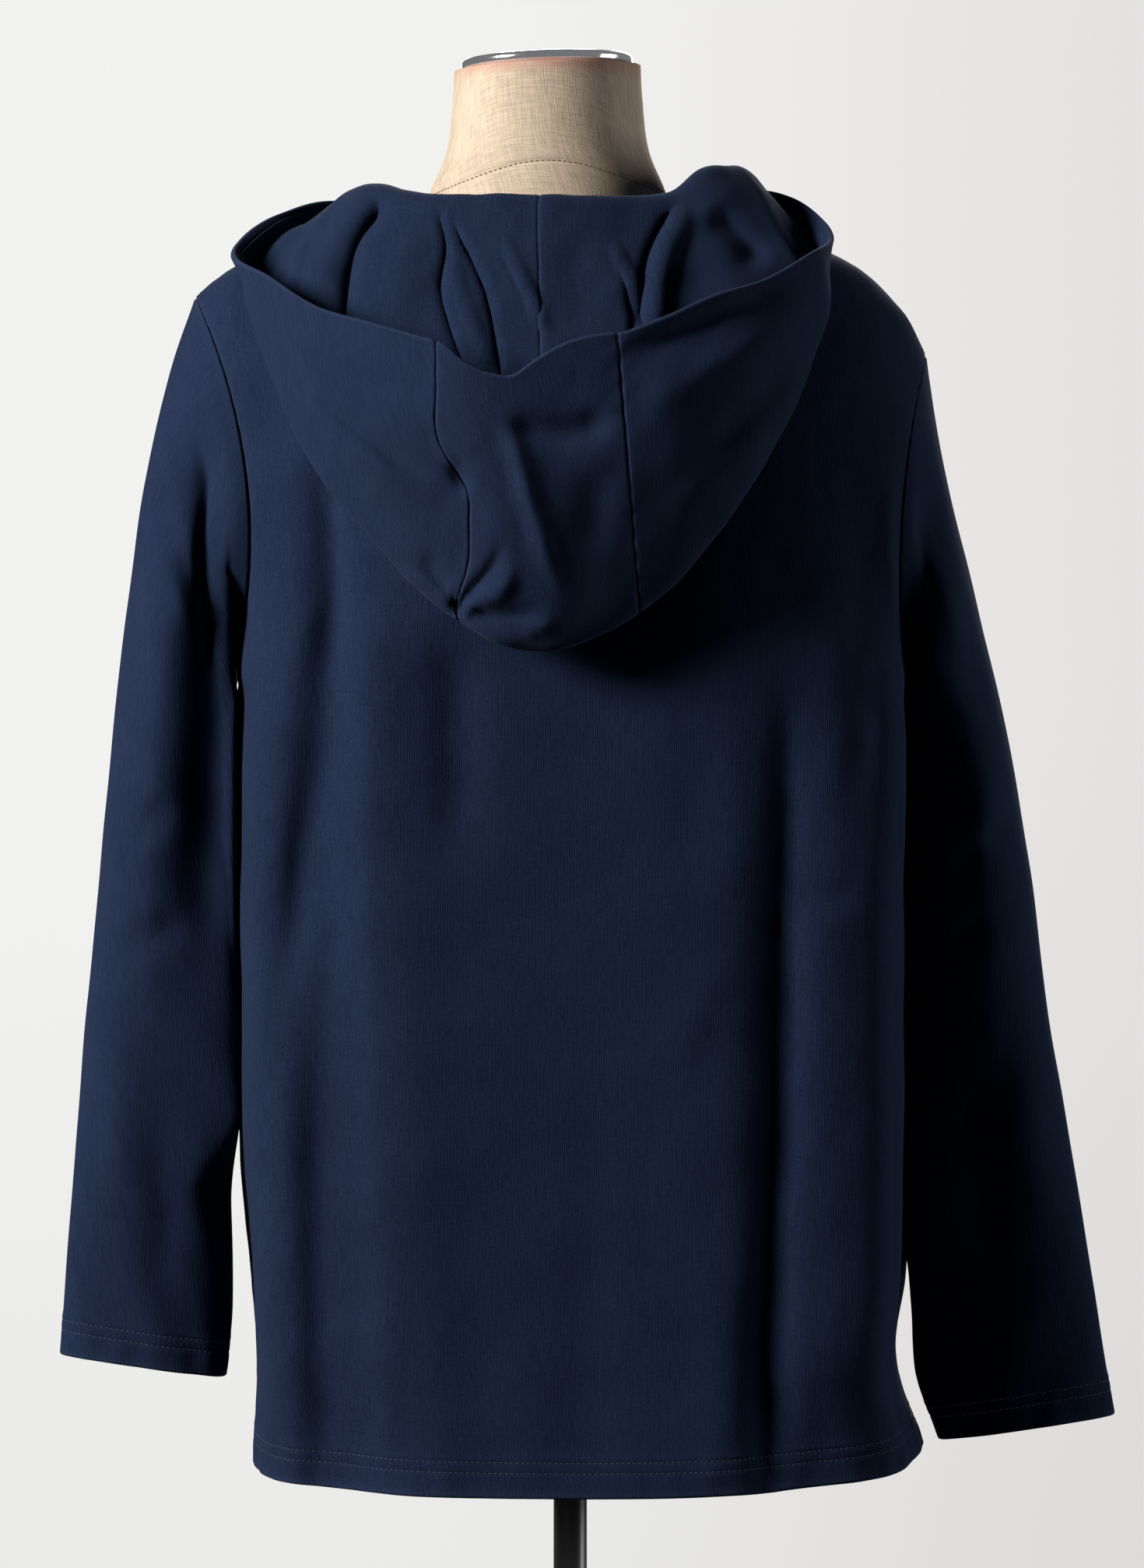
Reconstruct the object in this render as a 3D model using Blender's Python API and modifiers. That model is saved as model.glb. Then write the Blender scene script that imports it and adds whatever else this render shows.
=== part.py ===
# Pullover hoodie with its hood down, standing on a limbless dress form.
# Metres, +Z up. The wearer faces -Y, the wearer's left is +X.
# The origin is the centre of the underside of the form's base, on the pole's axis.

import math
from collections import namedtuple

import bpy
import bmesh
from mathutils import Vector

# Driving dimensions
CLOTH = 0.0016          # brushed sweatshirt knit
LINING = 0.0012         # lighter knit inside the hood
SEAM_GAP = 0.0005       # between pieces that are sewn together
RIDGE_GAP = 0.0022      # between the outer faces at the shoulder seam, which closes inwards
NECK_GAP = 0.0010       # between the neck edge of the body and the hood
HOOD_GAP = 0.0010       # between the hood's outer panels, and between hood and lining
LINING_GAP = 0.0028     # between the outer edges of the lining's two halves, which close inwards
ARMHOLE_GAP = 0.0012    # how far the sleeve starts from the armhole's line
SLIT_GAP = 0.0060       # between front and back at the foot of the open side slits
SLIT_FOOT = 0.670       # height where that gap is widest
SLIT_TOP = 0.745        # height where the side slits end
MESH_GAP = 0.0003       # between solids of the form that touch
WELD = 0.00001

# The neck seam that the hood is sewn to
NECK_X = 0.013          # the neck stands a little to the wearer's left of the pole
NECK_Y = -0.004
NECK_HALF_WIDTH = 0.083
NECK_BACK = 0.066
NECK_FRONT = 0.088
NECK_SIDE_Z = 1.408
NECK_BACK_DROP = 0.014
NECK_FRONT_DROP = 0.068

# Grid of each piece
NECK_STEPS = 6          # columns from the centre to the side of the neck
SHOULDER_STEPS = 7      # columns from the side of the neck to the armhole
LOWER_ROWS = 9          # hem to underarm
UPPER_ROWS = 9          # underarm to shoulder seam
SLEEVE_SIDES = 18
SLEEVE_ROWS = 14
SIDE_STEPS = 13         # hood columns from the front to the centre strip
STRIP_STEPS = 4         # hood columns across the centre strip
HOOD_STEPS = 13         # hood rows from neck seam to rim

# Cross-sections of the body, hem to underarm. mid, left_z and right_z are the
# heights at the centre and at the side seams; left and right are the side seams.
BodyRow = namedtuple("BodyRow", "mid left_z right_z left right back front")
BODY_ROWS = [
    BodyRow(0.677, 0.692, 0.703, 0.180, -0.200, 0.116, -0.119),
    BodyRow(0.742, 0.748, 0.750, 0.179, -0.186, 0.113, -0.116),
    BodyRow(0.810, 0.811, 0.811, 0.182, -0.190, 0.113, -0.116),
    BodyRow(0.890, 0.890, 0.890, 0.188, -0.192, 0.116, -0.118),
    BodyRow(0.990, 0.990, 0.988, 0.190, -0.192, 0.120, -0.121),
    BodyRow(1.080, 1.082, 1.072, 0.190, -0.193, 0.124, -0.127),
    BodyRow(1.145, 1.150, 1.126, 0.189, -0.192, 0.128, -0.132),
]

OVAL_WIDTH, OVAL_DEPTH = 0.92, 0.72     # powers that square off the body's oval
YOKE_LEVEL = 0.4        # above this share of the armhole the columns fan out evenly to the seams

# Depth of the body at its centre line, from the underarm row (0) to the neck (1)
YokeRow = namedtuple("YokeRow", "at centre back front")
YOKE_ROWS = [
    YokeRow(0.00, -0.0015, 0.128, -0.132),
    YokeRow(0.20, -0.0010, 0.129, -0.134),
    YokeRow(0.35, 0.0005, 0.127, -0.135),
    YokeRow(0.50, 0.0030, 0.122, -0.133),
    YokeRow(0.65, 0.0065, 0.112, -0.126),
    YokeRow(0.82, 0.0105, 0.090, -0.110),
    YokeRow(1.00, NECK_X, NECK_Y + NECK_BACK, NECK_Y - NECK_FRONT),
]

# Armholes: the shoulder point, the underarm point, how far the ring reaches
# back and forward, and how far it bows towards the centre of the garment
Armhole = namedtuple("Armhole", "tip under slope roll back front bow_back bow_front")
ARMHOLES = {
    "left": Armhole((0.214, -0.004), (0.189, 0.0, 1.150), 0.028, 0.018, 0.074, 0.068, 0.020, 0.030),
    "right": Armhole((-0.203, -0.004), (-0.192, 0.0, 1.126), 0.030, 0.049, 0.074, 0.068, 0.012, 0.026),
}
ROLL_POWER = 5          # how late the shoulder rolls down to its tip

SLEEVE_BOW = (0.75, 0.40, 0.15)     # shares of the armhole's bow in the sleeve's first rows
SLEEVE_CROWDING = 1.15              # above 1, the rows lie closer together near the armhole

# Sleeve cross-sections from the armhole down: the outer and the inner edge,
# half the depth from front to back, and where its middle lies
SleeveRow = namedtuple("SleeveRow", "out_x out_z in_x in_z depth middle")
SLEEVES = {
    "left": [
        SleeveRow(0.2290, 1.3180, 0.1930, 1.1565, 0.0760, -0.003),
        SleeveRow(0.2420, 1.2600, 0.1975, 1.1520, 0.0800, -0.004),
        SleeveRow(0.2525, 1.1850, 0.1985, 1.1250, 0.0820, -0.004),
        SleeveRow(0.2615, 1.1050, 0.1975, 1.0850, 0.0790, -0.004),
        SleeveRow(0.2690, 1.0250, 0.1965, 1.0170, 0.0690, -0.004),
        SleeveRow(0.2770, 0.9400, 0.1955, 0.9350, 0.0540, -0.003),
        SleeveRow(0.2840, 0.8550, 0.1935, 0.8480, 0.0400, -0.001),
        SleeveRow(0.2885, 0.7950, 0.1925, 0.7850, 0.0300, 0.001),
        SleeveRow(0.2905, 0.7590, 0.1965, 0.7465, 0.0250, 0.002),
    ],
    "right": [
        SleeveRow(-0.2080, 1.2960, -0.1965, 1.1325, 0.0750, -0.006),
        SleeveRow(-0.2170, 1.2500, -0.2000, 1.1280, 0.0790, -0.010),
        SleeveRow(-0.2340, 1.1800, -0.2005, 1.1050, 0.0810, -0.014),
        SleeveRow(-0.2500, 1.1100, -0.1995, 1.0700, 0.0790, -0.015),
        SleeveRow(-0.2630, 1.0350, -0.1985, 1.0050, 0.0690, -0.013),
        SleeveRow(-0.2735, 0.9500, -0.1975, 0.9250, 0.0540, -0.010),
        SleeveRow(-0.2890, 0.8600, -0.1965, 0.8350, 0.0400, -0.006),
        SleeveRow(-0.3030, 0.7700, -0.1965, 0.7500, 0.0300, -0.002),
        SleeveRow(-0.3100, 0.7245, -0.2100, 0.7100, 0.0250, 0.000),
    ],
}

# The hood lies back in a bag. Each row is one section of it, from the neck seam
# at angle "neck" (0 is the centre back) over the standing fold, down to the
# bottom of the bag and up again to the rim.
HoodRow = namedtuple("HoodRow", "neck fold bag rim")
HOOD_ROWS = [
    HoodRow(-178, (0.007, -0.108, 1.354), (0.004, -0.118, 1.350), (0.003, -0.124, 1.344)),
    HoodRow(-148, (-0.074, -0.088, 1.400), (-0.110, -0.101, 1.387), (-0.120, -0.107, 1.379)),
    HoodRow(-122, (-0.116, -0.022, 1.422), (-0.142, 0.000, 1.410), (-0.155, 0.022, 1.398)),
    HoodRow(-98, (-0.102, 0.024, 1.433), (-0.143, 0.088, 1.338), (-0.135, 0.098, 1.379)),
    HoodRow(-74, (-0.080, 0.048, 1.437), (-0.113, 0.124, 1.273), (-0.099, 0.138, 1.358)),
    HoodRow(-50, (-0.054, 0.070, 1.429), (-0.073, 0.146, 1.212), (-0.063, 0.166, 1.343)),
    HoodRow(-26, (-0.020, 0.080, 1.419), (-0.038, 0.158, 1.179), (-0.026, 0.182, 1.330)),
    HoodRow(0, (0.018, 0.084, 1.416), (0.013, 0.162, 1.158), (0.036, 0.188, 1.306)),
    HoodRow(26, (0.056, 0.080, 1.419), (0.061, 0.158, 1.174), (0.073, 0.181, 1.322)),
    HoodRow(50, (0.092, 0.070, 1.427), (0.112, 0.144, 1.222), (0.108, 0.164, 1.338)),
    HoodRow(74, (0.119, 0.048, 1.430), (0.151, 0.120, 1.277), (0.143, 0.136, 1.348)),
    HoodRow(98, (0.146, 0.024, 1.424), (0.178, 0.080, 1.341), (0.172, 0.102, 1.367)),
    HoodRow(122, (0.158, -0.024, 1.415), (0.184, -0.002, 1.402), (0.197, 0.020, 1.391)),
    HoodRow(148, (0.104, -0.088, 1.400), (0.142, -0.101, 1.387), (0.154, -0.107, 1.379)),
    HoodRow(178, (0.019, -0.108, 1.354), (0.022, -0.118, 1.350), (0.023, -0.124, 1.344)),
]
STRIP_FIRST, STRIP_LAST = 6, 8      # rows that the seams of the centre strip follow
HOOD_STAND = 0.020                  # how far the hood stands up from the neck seam at the back
HOOD_STAND_FRONT = 0.6              # share of that height at the front
HOOD_STAND_OUT = 0.007
WALL_PLACE, WALL_BELLY = 0.50, 0.012    # how far the bag's inner wall bellies away from the back
FLAP_PLACE, FLAP_BELLY = 0.45, 0.013    # and its outer wall
BAG_DEPTH = 0.20                    # depth from which the bellies are full

# Main folds of the back and the front: where they run, how wide and how deep.
# The sides and the width are shares of the way from the centre to the side seam,
# left positive.
Fold = namedtuple("Fold", "low_side high_side low high width depth")
BACK_FOLDS = [
    Fold(-0.62, -0.52, 0.66, 1.17, 0.375, -0.011),
    Fold(0.60, 0.56, 0.66, 1.12, 0.350, -0.009),
    Fold(0.78, 0.74, 0.72, 1.20, 0.400, 0.007),
    Fold(-0.78, -0.80, 0.80, 1.24, 0.400, 0.007),
]
FRONT_FOLDS = [
    Fold(0.50, 0.38, 0.66, 1.10, 0.400, -0.009),
    Fold(-0.46, -0.36, 0.66, 1.06, 0.400, -0.008),
    Fold(0.74, 0.70, 0.70, 1.20, 0.400, 0.006),
    Fold(-0.74, -0.72, 0.70, 1.20, 0.400, 0.006),
]
FOLD_FADE = 2.5         # a fold fades out over the last 1 / 2.5 of its length
FOLD_SEAM_POWER = 8     # and close to the side seams
BODY_FLATNESS = 1.6     # the body's width over its depth, which turns a fold's direction

# The dress form, bottom to top
FormRow = namedtuple("FormRow", "z centre left right back front core_x core_y")
FORM_ROWS = [
    FormRow(0.745, 0.000, 0.128, 0.128, 0.076, 0.074, 0.060, 0.050),
    FormRow(0.760, 0.000, 0.150, 0.150, 0.090, 0.088, 0.060, 0.050),
    FormRow(0.830, 0.000, 0.163, 0.163, 0.096, 0.092, 0.060, 0.050),
    FormRow(0.900, 0.000, 0.158, 0.158, 0.096, 0.090, 0.060, 0.050),
    FormRow(1.010, 0.000, 0.136, 0.136, 0.092, 0.090, 0.060, 0.050),
    FormRow(1.110, 0.000, 0.146, 0.146, 0.102, 0.104, 0.060, 0.050),
    FormRow(1.200, 0.001, 0.160, 0.160, 0.110, 0.114, 0.060, 0.050),
    FormRow(1.270, 0.003, 0.172, 0.172, 0.102, 0.108, 0.060, 0.050),
    FormRow(1.320, 0.005, 0.181, 0.181, 0.082, 0.090, 0.062, 0.050),
    FormRow(1.350, 0.007, 0.182, 0.180, 0.062, 0.068, 0.064, 0.050),
    FormRow(1.372, 0.009, 0.170, 0.168, 0.046, 0.050, 0.067, 0.051),
    FormRow(1.388, 0.011, 0.138, 0.133, 0.032, 0.034, 0.069, 0.053),
    FormRow(1.402, NECK_X, 0.057, 0.051, 0.020, 0.020, 0.0685, 0.054),
    FormRow(1.418, NECK_X, 0.050, 0.050, 0.020, 0.020, 0.068, 0.054),
    FormRow(1.445, NECK_X, 0.040, 0.040, 0.020, 0.020, 0.0575, 0.0530),
    FormRow(1.475, NECK_X, 0.040, 0.040, 0.020, 0.020, 0.0535, 0.0525),
    FormRow(1.4925, NECK_X, 0.040, 0.040, 0.020, 0.020, 0.0525, 0.0520),
]
FORM_Y = -0.002
FORM_SIDES = 30
FORM_RINGS = 36
FORM_CROWDING = 0.22            # crowds each ring's points at the narrow shoulders
BLEND = 8                       # how sharply the neck joins the shoulders
NECK_LEAN = math.radians(2.0)   # the neck's top tips down to the wearer's left
LEAN_FROM, LEAN_TO = 1.400, 1.4925
CAP_RADIUS = 0.0490
CAP_HEIGHT = 0.0065
POLE_RADIUS = 0.0095
BASE_RADIUS = 0.180
BASE_HEIGHT = 0.012
CAP_STEPS, POLE_STEPS, BASE_STEPS = 40, 24, 48

# Turned profiles, as shares of the radius and the height, down the outer side
CAP_PROFILE = [(0, 1), (0.90, 1), (0.97, 0.85), (1, 0.5), (0.97, 0), (0, 0)]
BASE_PROFILE = [(0, 1), (0.30, 1), (0.96, 0.75), (1, 0.5), (1, 0), (0, 0)]


def smooth(keys, values, at):
    """Cubic curve through values placed at rising keys."""
    at = min(max(at, keys[0]), keys[-1])
    i = 0
    while i < len(keys) - 2 and at > keys[i + 1]:
        i += 1

    def slope(k):
        low, high = max(k - 1, 0), min(k + 1, len(keys) - 1)
        return (values[high] - values[low]) / (keys[high] - keys[low])

    span = keys[i + 1] - keys[i]
    t = (at - keys[i]) / span
    start = values[i] * (2 * t**3 - 3 * t**2 + 1) + slope(i) * span * (t**3 - 2 * t**2 + t)
    end = values[i + 1] * (3 * t**2 - 2 * t**3) + slope(i + 1) * span * (t**3 - t**2)
    return start + end


def column(rows, name):
    return [getattr(row, name) for row in rows]


def mix(a, b, share):
    return a + (b - a) * share


def hump(distance, width):
    """1 in the middle of a fold, falling smoothly to 0 at half its width."""
    share = min(abs(distance) / (width / 2), 1.0)
    return (1 - share * share) ** 2


# --- the seams that pieces share -------------------------------------------------

def shoulder_height(side, share):
    """Height of the shoulder seam, from the side of the neck (0) to the tip (1)."""
    hole = ARMHOLES[side]
    return NECK_SIDE_Z - hole.slope * share - hole.roll * share**ROLL_POWER


def neck_seam(angle):
    """Point of the neck seam. 0 is the centre back and 180 degrees the centre front."""
    sine, cosine = math.sin(angle), math.cos(angle)
    reach = NECK_BACK if cosine > 0 else NECK_FRONT
    drop = NECK_BACK_DROP if cosine > 0 else NECK_FRONT_DROP
    across = abs(sine)
    return Vector((
        NECK_X + NECK_HALF_WIDTH * sine,
        NECK_Y + reach * cosine,
        NECK_SIDE_Z - drop * (1 - across * across),
    ))


def armhole_point(side, turn):
    """Point of the armhole seam. 0 is the underarm, pi the shoulder; pi/2 is at the back."""
    hole = ARMHOLES[side]
    rise = (1 - math.cos(turn)) / 2
    sine = math.sin(turn)
    out = 1 if side == "left" else -1
    reach = hole.back if sine > 0 else hole.front
    bow = hole.bow_back if sine > 0 else hole.bow_front
    return Vector((
        mix(hole.under[0], hole.tip[0], rise) - out * bow * sine * sine,
        mix(hole.under[1], hole.tip[1], rise) + reach * sine,
        mix(hole.under[2], shoulder_height(side, 1), rise),
    ))


def inset_line(line, first, last, gap):
    """Moves the ends of a row in by a gap, along the row."""
    if first:
        line[0] = line[0] + (line[1] - line[0]).normalized() * gap
    if last:
        line[-1] = line[-1] + (line[-2] - line[-1]).normalized() * gap
    return line


# --- front and back panels -------------------------------------------------------

def fold_offset(folds, side_share, z):
    total = 0.0
    for fold in folds:
        up = (z - fold.low) / (fold.high - fold.low)
        if up > 1:
            continue
        fade = min(1.0, (1 - up) * FOLD_FADE)
        place = mix(fold.low_side, fold.high_side, up)
        total += fold.depth * fade * hump(side_share - place, fold.width)
    return total


def lower_point(face, share, row):
    """Point between hem and underarm. share runs -1 (right side seam) to 1 (left)."""
    rows = BODY_ROWS
    keys = list(range(len(rows)))

    def value(name):
        return smooth(keys, column(rows, name), row)

    side = abs(share)
    angle = side * math.pi / 2
    side_name = "left" if share > 0 else "right"
    end_x = value(side_name)
    z = mix(value("mid"), value(side_name + "_z"), side**2)
    centre = (value("left") + value("right")) / 2
    depth = value(face)
    closed = min(1.0, (z - SLIT_FOOT) / (SLIT_TOP - SLIT_FOOT))
    gap = mix(SLIT_GAP, SEAM_GAP, closed) / 2
    sign = 1 if face == "back" else -1
    x = mix(centre, end_x, math.sin(angle) ** OVAL_WIDTH)
    y = sign * gap + depth * math.cos(angle) ** OVAL_DEPTH
    return Vector((x, y, z))


def upper_point(face, share, up):
    """Point between underarm (0) and the shoulder and neck seams (1)."""
    side_name = "left" if share > 0 else "right"
    side = abs(share)
    turn = math.pi * up * (1 if face == "back" else -1)
    end = armhole_point(side_name, turn)
    keys = column(YOKE_ROWS, "at")
    centre_x = smooth(keys, column(YOKE_ROWS, "centre"), up)
    centre_y = smooth(keys, column(YOKE_ROWS, face), up)

    reach = abs(ARMHOLES[side_name].tip[0] - NECK_X)
    neck_share = NECK_HALF_WIDTH / reach
    if side < neck_share:
        across = side / neck_share
        drop = NECK_BACK_DROP if face == "back" else NECK_FRONT_DROP
        top_z = NECK_SIDE_Z - drop * (1 - across * across)
        neck_curve = math.sqrt(1 - across * across)
    else:
        top_z = shoulder_height(side_name, (side - neck_share) / (1 - neck_share))
        neck_curve = 0.0

    rise = (1 - math.cos(math.pi * up)) / 2
    low_z = mix(BODY_ROWS[-1].mid, ARMHOLES[side_name].under[2], side**2)
    z = mix(low_z, top_z, rise)

    # the body's oval, cut off where it meets the armhole
    cut = math.acos(min(1.0, abs(end.y / centre_y)) ** (1 / OVAL_DEPTH))
    across = (math.sin(side * cut) / math.sin(cut)) ** OVAL_WIDTH
    level = max(0.0, (up - YOKE_LEVEL) / (1 - YOKE_LEVEL)) ** 2
    x = mix(centre_x, end.x, mix(across, side, level))
    bulge = (centre_y * math.cos(side * cut) ** OVAL_DEPTH - end.y) / (centre_y - end.y)
    if up > 0.5:
        bulge = mix(neck_curve, bulge, math.sin(math.pi * up))
    return Vector((x, mix(end.y, centre_y, bulge), z))


def panel_shares():
    """Columns of a panel, so that one lies at each side of the neck."""
    shares = {}
    for side_name, sign in (("right", -1), ("left", 1)):
        neck_share = NECK_HALF_WIDTH / abs(ARMHOLES[side_name].tip[0] - NECK_X)
        side = []
        for i in range(1, NECK_STEPS + 1):
            side.append(sign * neck_share * math.sin(i / NECK_STEPS * math.pi / 2))
        for i in range(1, SHOULDER_STEPS + 1):
            side.append(sign * mix(neck_share, 1, i / SHOULDER_STEPS))
        shares[side_name] = side
    return shares["right"][::-1] + [0.0] + shares["left"]


def panel_grid(face, folds):
    """Rows from the hem to the shoulder and neck seams."""
    shares = panel_shares()
    top_row = len(BODY_ROWS) - 1
    grid = []
    for i in range(LOWER_ROWS):
        grid.append([lower_point(face, share, top_row * i / LOWER_ROWS) for share in shares])
    for i in range(UPPER_ROWS + 1):
        grid.append([upper_point(face, share, i / UPPER_ROWS) for share in shares])
    for line in grid:
        for point, share in zip(line, shares):
            away = Vector((point.x, point.y * BODY_FLATNESS, 0)).normalized()
            point += away * fold_offset(folds, share, point.z) * (1 - share**FOLD_SEAM_POWER)
    ridge = RIDGE_GAP / 2 if face == "back" else -RIDGE_GAP / 2
    for point, share in zip(grid[-1], shares):
        if abs(point.x - NECK_X) > NECK_HALF_WIDTH - SEAM_GAP:
            point.y += ridge
    side_seam = SEAM_GAP / 2 if face == "back" else -SEAM_GAP / 2
    for k in (0, -1):
        grid[LOWER_ROWS][k].y += side_seam
    for line in grid[LOWER_ROWS + 1:]:
        inset_line(line, True, True, SEAM_GAP)
    return grid


# --- sleeves ---------------------------------------------------------------------

def sleeve_grid(side):
    rows = SLEEVES[side]
    keys = [0.0]
    hole_tip = armhole_point(side, math.pi)
    last = Vector((hole_tip.x, 0, hole_tip.z))
    for row in rows:
        edge = Vector((row.out_x, 0, row.out_z))
        keys.append(keys[-1] + (edge - last).length)
        last = edge

    out = 1 if side == "left" else -1

    def ring_point(turn, at):
        sine, cosine = math.sin(turn), math.cos(turn)
        hole = armhole_point(side, turn)
        hole_bow = ARMHOLES[side].bow_back if sine > 0 else ARMHOLES[side].bow_front
        points = [hole]
        for i, row in enumerate(rows):
            rise = (1 - cosine) / 2
            bow = hole_bow * SLEEVE_BOW[i] if i < len(SLEEVE_BOW) else 0.0
            points.append(Vector((
                mix(row.in_x, row.out_x, rise) - out * bow * sine * sine,
                row.middle + row.depth * sine,
                mix(row.in_z, row.out_z, rise),
            )))
        return Vector([smooth(keys, [p[k] for p in points], at) for k in range(3)])

    length = keys[-1]
    grid = []
    for i in range(SLEEVE_ROWS + 1):
        at = mix(ARMHOLE_GAP, length, (i / SLEEVE_ROWS) ** SLEEVE_CROWDING)
        grid.append([ring_point(2 * math.pi * k / SLEEVE_SIDES, at) for k in range(SLEEVE_SIDES)])
    return grid


# --- hood ------------------------------------------------------------------------

def hood_point(at, along):
    """at is a place in the table of rows; along runs 0 at the neck seam to 1 at the rim."""
    keys = list(range(len(HOOD_ROWS)))
    angle = math.radians(smooth(keys, column(HOOD_ROWS, "neck"), at))
    parts = []
    for name in ("fold", "bag", "rim"):
        points = column(HOOD_ROWS, name)
        parts.append(Vector([smooth(keys, [p[k] for p in points], at) for k in range(3)]))
    fold, bag, rim = parts
    seam = neck_seam(angle) + Vector((0, 0, NECK_GAP))
    out = Vector((math.sin(angle), math.cos(angle), 0))
    height = HOOD_STAND * mix(HOOD_STAND_FRONT, 1, (1 + math.cos(angle)) / 2)
    stand = seam + out * HOOD_STAND_OUT + Vector((0, 0, height))
    deep = min(1.0, (fold - bag).length / BAG_DEPTH)
    wall = fold.lerp(bag, WALL_PLACE) + Vector((0, WALL_BELLY * deep, 0))
    flap = bag.lerp(rim, FLAP_PLACE) + Vector((0, FLAP_BELLY * deep, 0))
    path = [seam, stand, fold, wall, bag, flap, rim]
    lengths = [0.0]         # square roots, so that the curve doesn't overshoot on its short spans
    for a, b in zip(path, path[1:]):
        lengths.append(lengths[-1] + (b - a).length ** 0.5)
    place = along * lengths[-1]
    return Vector([smooth(lengths, [p[k] for p in path], place) for k in range(3)])


def hood_grid(first, last, steps):
    """Rows from neck seam to rim, columns between two places in the table."""
    places = [mix(first, last, k / steps) for k in range(steps + 1)]
    return [[hood_point(at, i / HOOD_STEPS) for at in places] for i in range(HOOD_STEPS + 1)]


# --- making objects --------------------------------------------------------------

def make_material(name, colour, roughness, metallic=0.0):
    material = bpy.data.materials.new(name)
    material.use_nodes = True
    shader = material.node_tree.nodes["Principled BSDF"]
    shader.inputs["Base Color"].default_value = (*colour, 1)
    shader.inputs["Roughness"].default_value = roughness
    shader.inputs["Metallic"].default_value = metallic
    return material


def sheet_object(name, grid, thickness, material, collection, closed=False, outward=1):
    """A cloth wall: an open grid of faces with Solidify. outward sets the normals' side."""
    mesh = bmesh.new()
    verts = [[mesh.verts.new(point) for point in line] for line in grid]
    count = len(grid[0])
    for low, high in zip(verts, verts[1:]):
        for k in range(count if closed else count - 1):
            after = (k + 1) % count
            corners = [low[k], low[after], high[after], high[k]]
            mesh.faces.new(corners if outward > 0 else corners[::-1])
    data = bpy.data.meshes.new(name)
    mesh.to_mesh(data)
    mesh.free()
    data.shade_smooth()
    piece = bpy.data.objects.new(name, data)
    piece.data.materials.append(material)
    collection.objects.link(piece)
    wall = piece.modifiers.new("wall", "SOLIDIFY")
    wall.thickness = thickness
    wall.offset = -1
    wall.use_even_offset = True
    wall.use_quality_normals = True
    return piece


def solid_object(name, rings, material, collection):
    """A closed solid through rings of equal count, with a fan at each end."""
    mesh = bmesh.new()
    verts = [[mesh.verts.new(point) for point in ring] for ring in rings]
    count = len(rings[0])
    for low, high in zip(verts, verts[1:]):
        for k in range(count):
            after = (k + 1) % count
            mesh.faces.new([low[k], low[after], high[after], high[k]])
    mesh.faces.new(verts[0][::-1])
    mesh.faces.new(verts[-1])
    bmesh.ops.recalc_face_normals(mesh, faces=mesh.faces)
    data = bpy.data.meshes.new(name)
    mesh.to_mesh(data)
    mesh.free()
    data.shade_smooth()
    solid = bpy.data.objects.new(name, data)
    solid.data.materials.append(material)
    collection.objects.link(solid)
    return solid


def turned_object(name, profile, steps, material, collection):
    """A solid of revolution: the profile runs down its outer side, top to bottom."""
    data = bpy.data.meshes.new(name)
    points = [(radius, 0, z) for radius, z in profile]
    data.from_pydata(points, [(i, i + 1) for i in range(len(points) - 1)], [])
    piece = bpy.data.objects.new(name, data)
    piece.data.materials.append(material)
    collection.objects.link(piece)
    turn = piece.modifiers.new("turn", "SCREW")
    turn.steps = steps
    turn.render_steps = steps
    turn.use_merge_vertices = True
    turn.merge_threshold = WELD
    turn.use_smooth_shade = True
    return piece


def make_form_torso(material, collection):
    rings = []
    heights = column(FORM_ROWS, "z")
    for i in range(FORM_RINGS + 1):
        z = mix(heights[0], heights[-1], i / FORM_RINGS)
        centre = smooth(heights, column(FORM_ROWS, "centre"), z)
        lean = smooth([0, LEAN_FROM, LEAN_TO, 2], [0, 0, 1, 1], z) * math.tan(NECK_LEAN)
        ring = []
        for k in range(FORM_SIDES):
            turn = 2 * math.pi * k / FORM_SIDES
            turn -= FORM_CROWDING * math.sin(2 * turn)
            sine, cosine = math.sin(turn), math.cos(turn)
            half = smooth(heights, column(FORM_ROWS, "left" if cosine > 0 else "right"), z)
            deep = smooth(heights, column(FORM_ROWS, "back" if sine > 0 else "front"), z)
            core_x = smooth(heights, column(FORM_ROWS, "core_x"), z)
            core_y = smooth(heights, column(FORM_ROWS, "core_y"), z)
            body_reach = 1 / math.hypot(cosine / half, sine / deep)
            neck_reach = 1 / math.hypot(cosine / core_x, sine / core_y)
            reach = (body_reach**BLEND + neck_reach**BLEND) ** (1 / BLEND)
            x = centre + reach * cosine
            ring.append(Vector((x, FORM_Y + reach * sine, z - (x - centre) * lean)))
        rings.append(ring)
    return solid_object("form_torso", rings, material, collection)


def make_form(collection, linen, chrome, steel):
    make_form_torso(linen, collection)
    cap_profile = [(CAP_RADIUS * out, CAP_HEIGHT * up) for out, up in CAP_PROFILE]
    cap = turned_object("form_neck_cap", cap_profile, CAP_STEPS, chrome, collection)
    cap.location = (NECK_X, FORM_Y, FORM_ROWS[-1].z + MESH_GAP)
    cap.rotation_euler = (0, NECK_LEAN, 0)
    top, foot = FORM_ROWS[0].z - MESH_GAP, BASE_HEIGHT + MESH_GAP
    pole_profile = [(0, top), (POLE_RADIUS, top), (POLE_RADIUS, foot), (0, foot)]
    turned_object("form_pole", pole_profile, POLE_STEPS, steel, collection)
    base_profile = [(BASE_RADIUS * out, BASE_HEIGHT * up) for out, up in BASE_PROFILE]
    turned_object("form_base", base_profile, BASE_STEPS, steel, collection)


def make_body(collection, navy):
    back = panel_grid("back", BACK_FOLDS)
    front = panel_grid("front", FRONT_FOLDS)
    sheet_object("back", back, CLOTH, navy, collection, outward=-1)
    sheet_object("front", front, CLOTH, navy, collection, outward=1)


def make_sleeves(collection, navy):
    for side, outward in (("left", 1), ("right", -1)):
        sheet_object("sleeve_" + side, sleeve_grid(side), CLOTH, navy, collection, True, outward)


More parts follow.
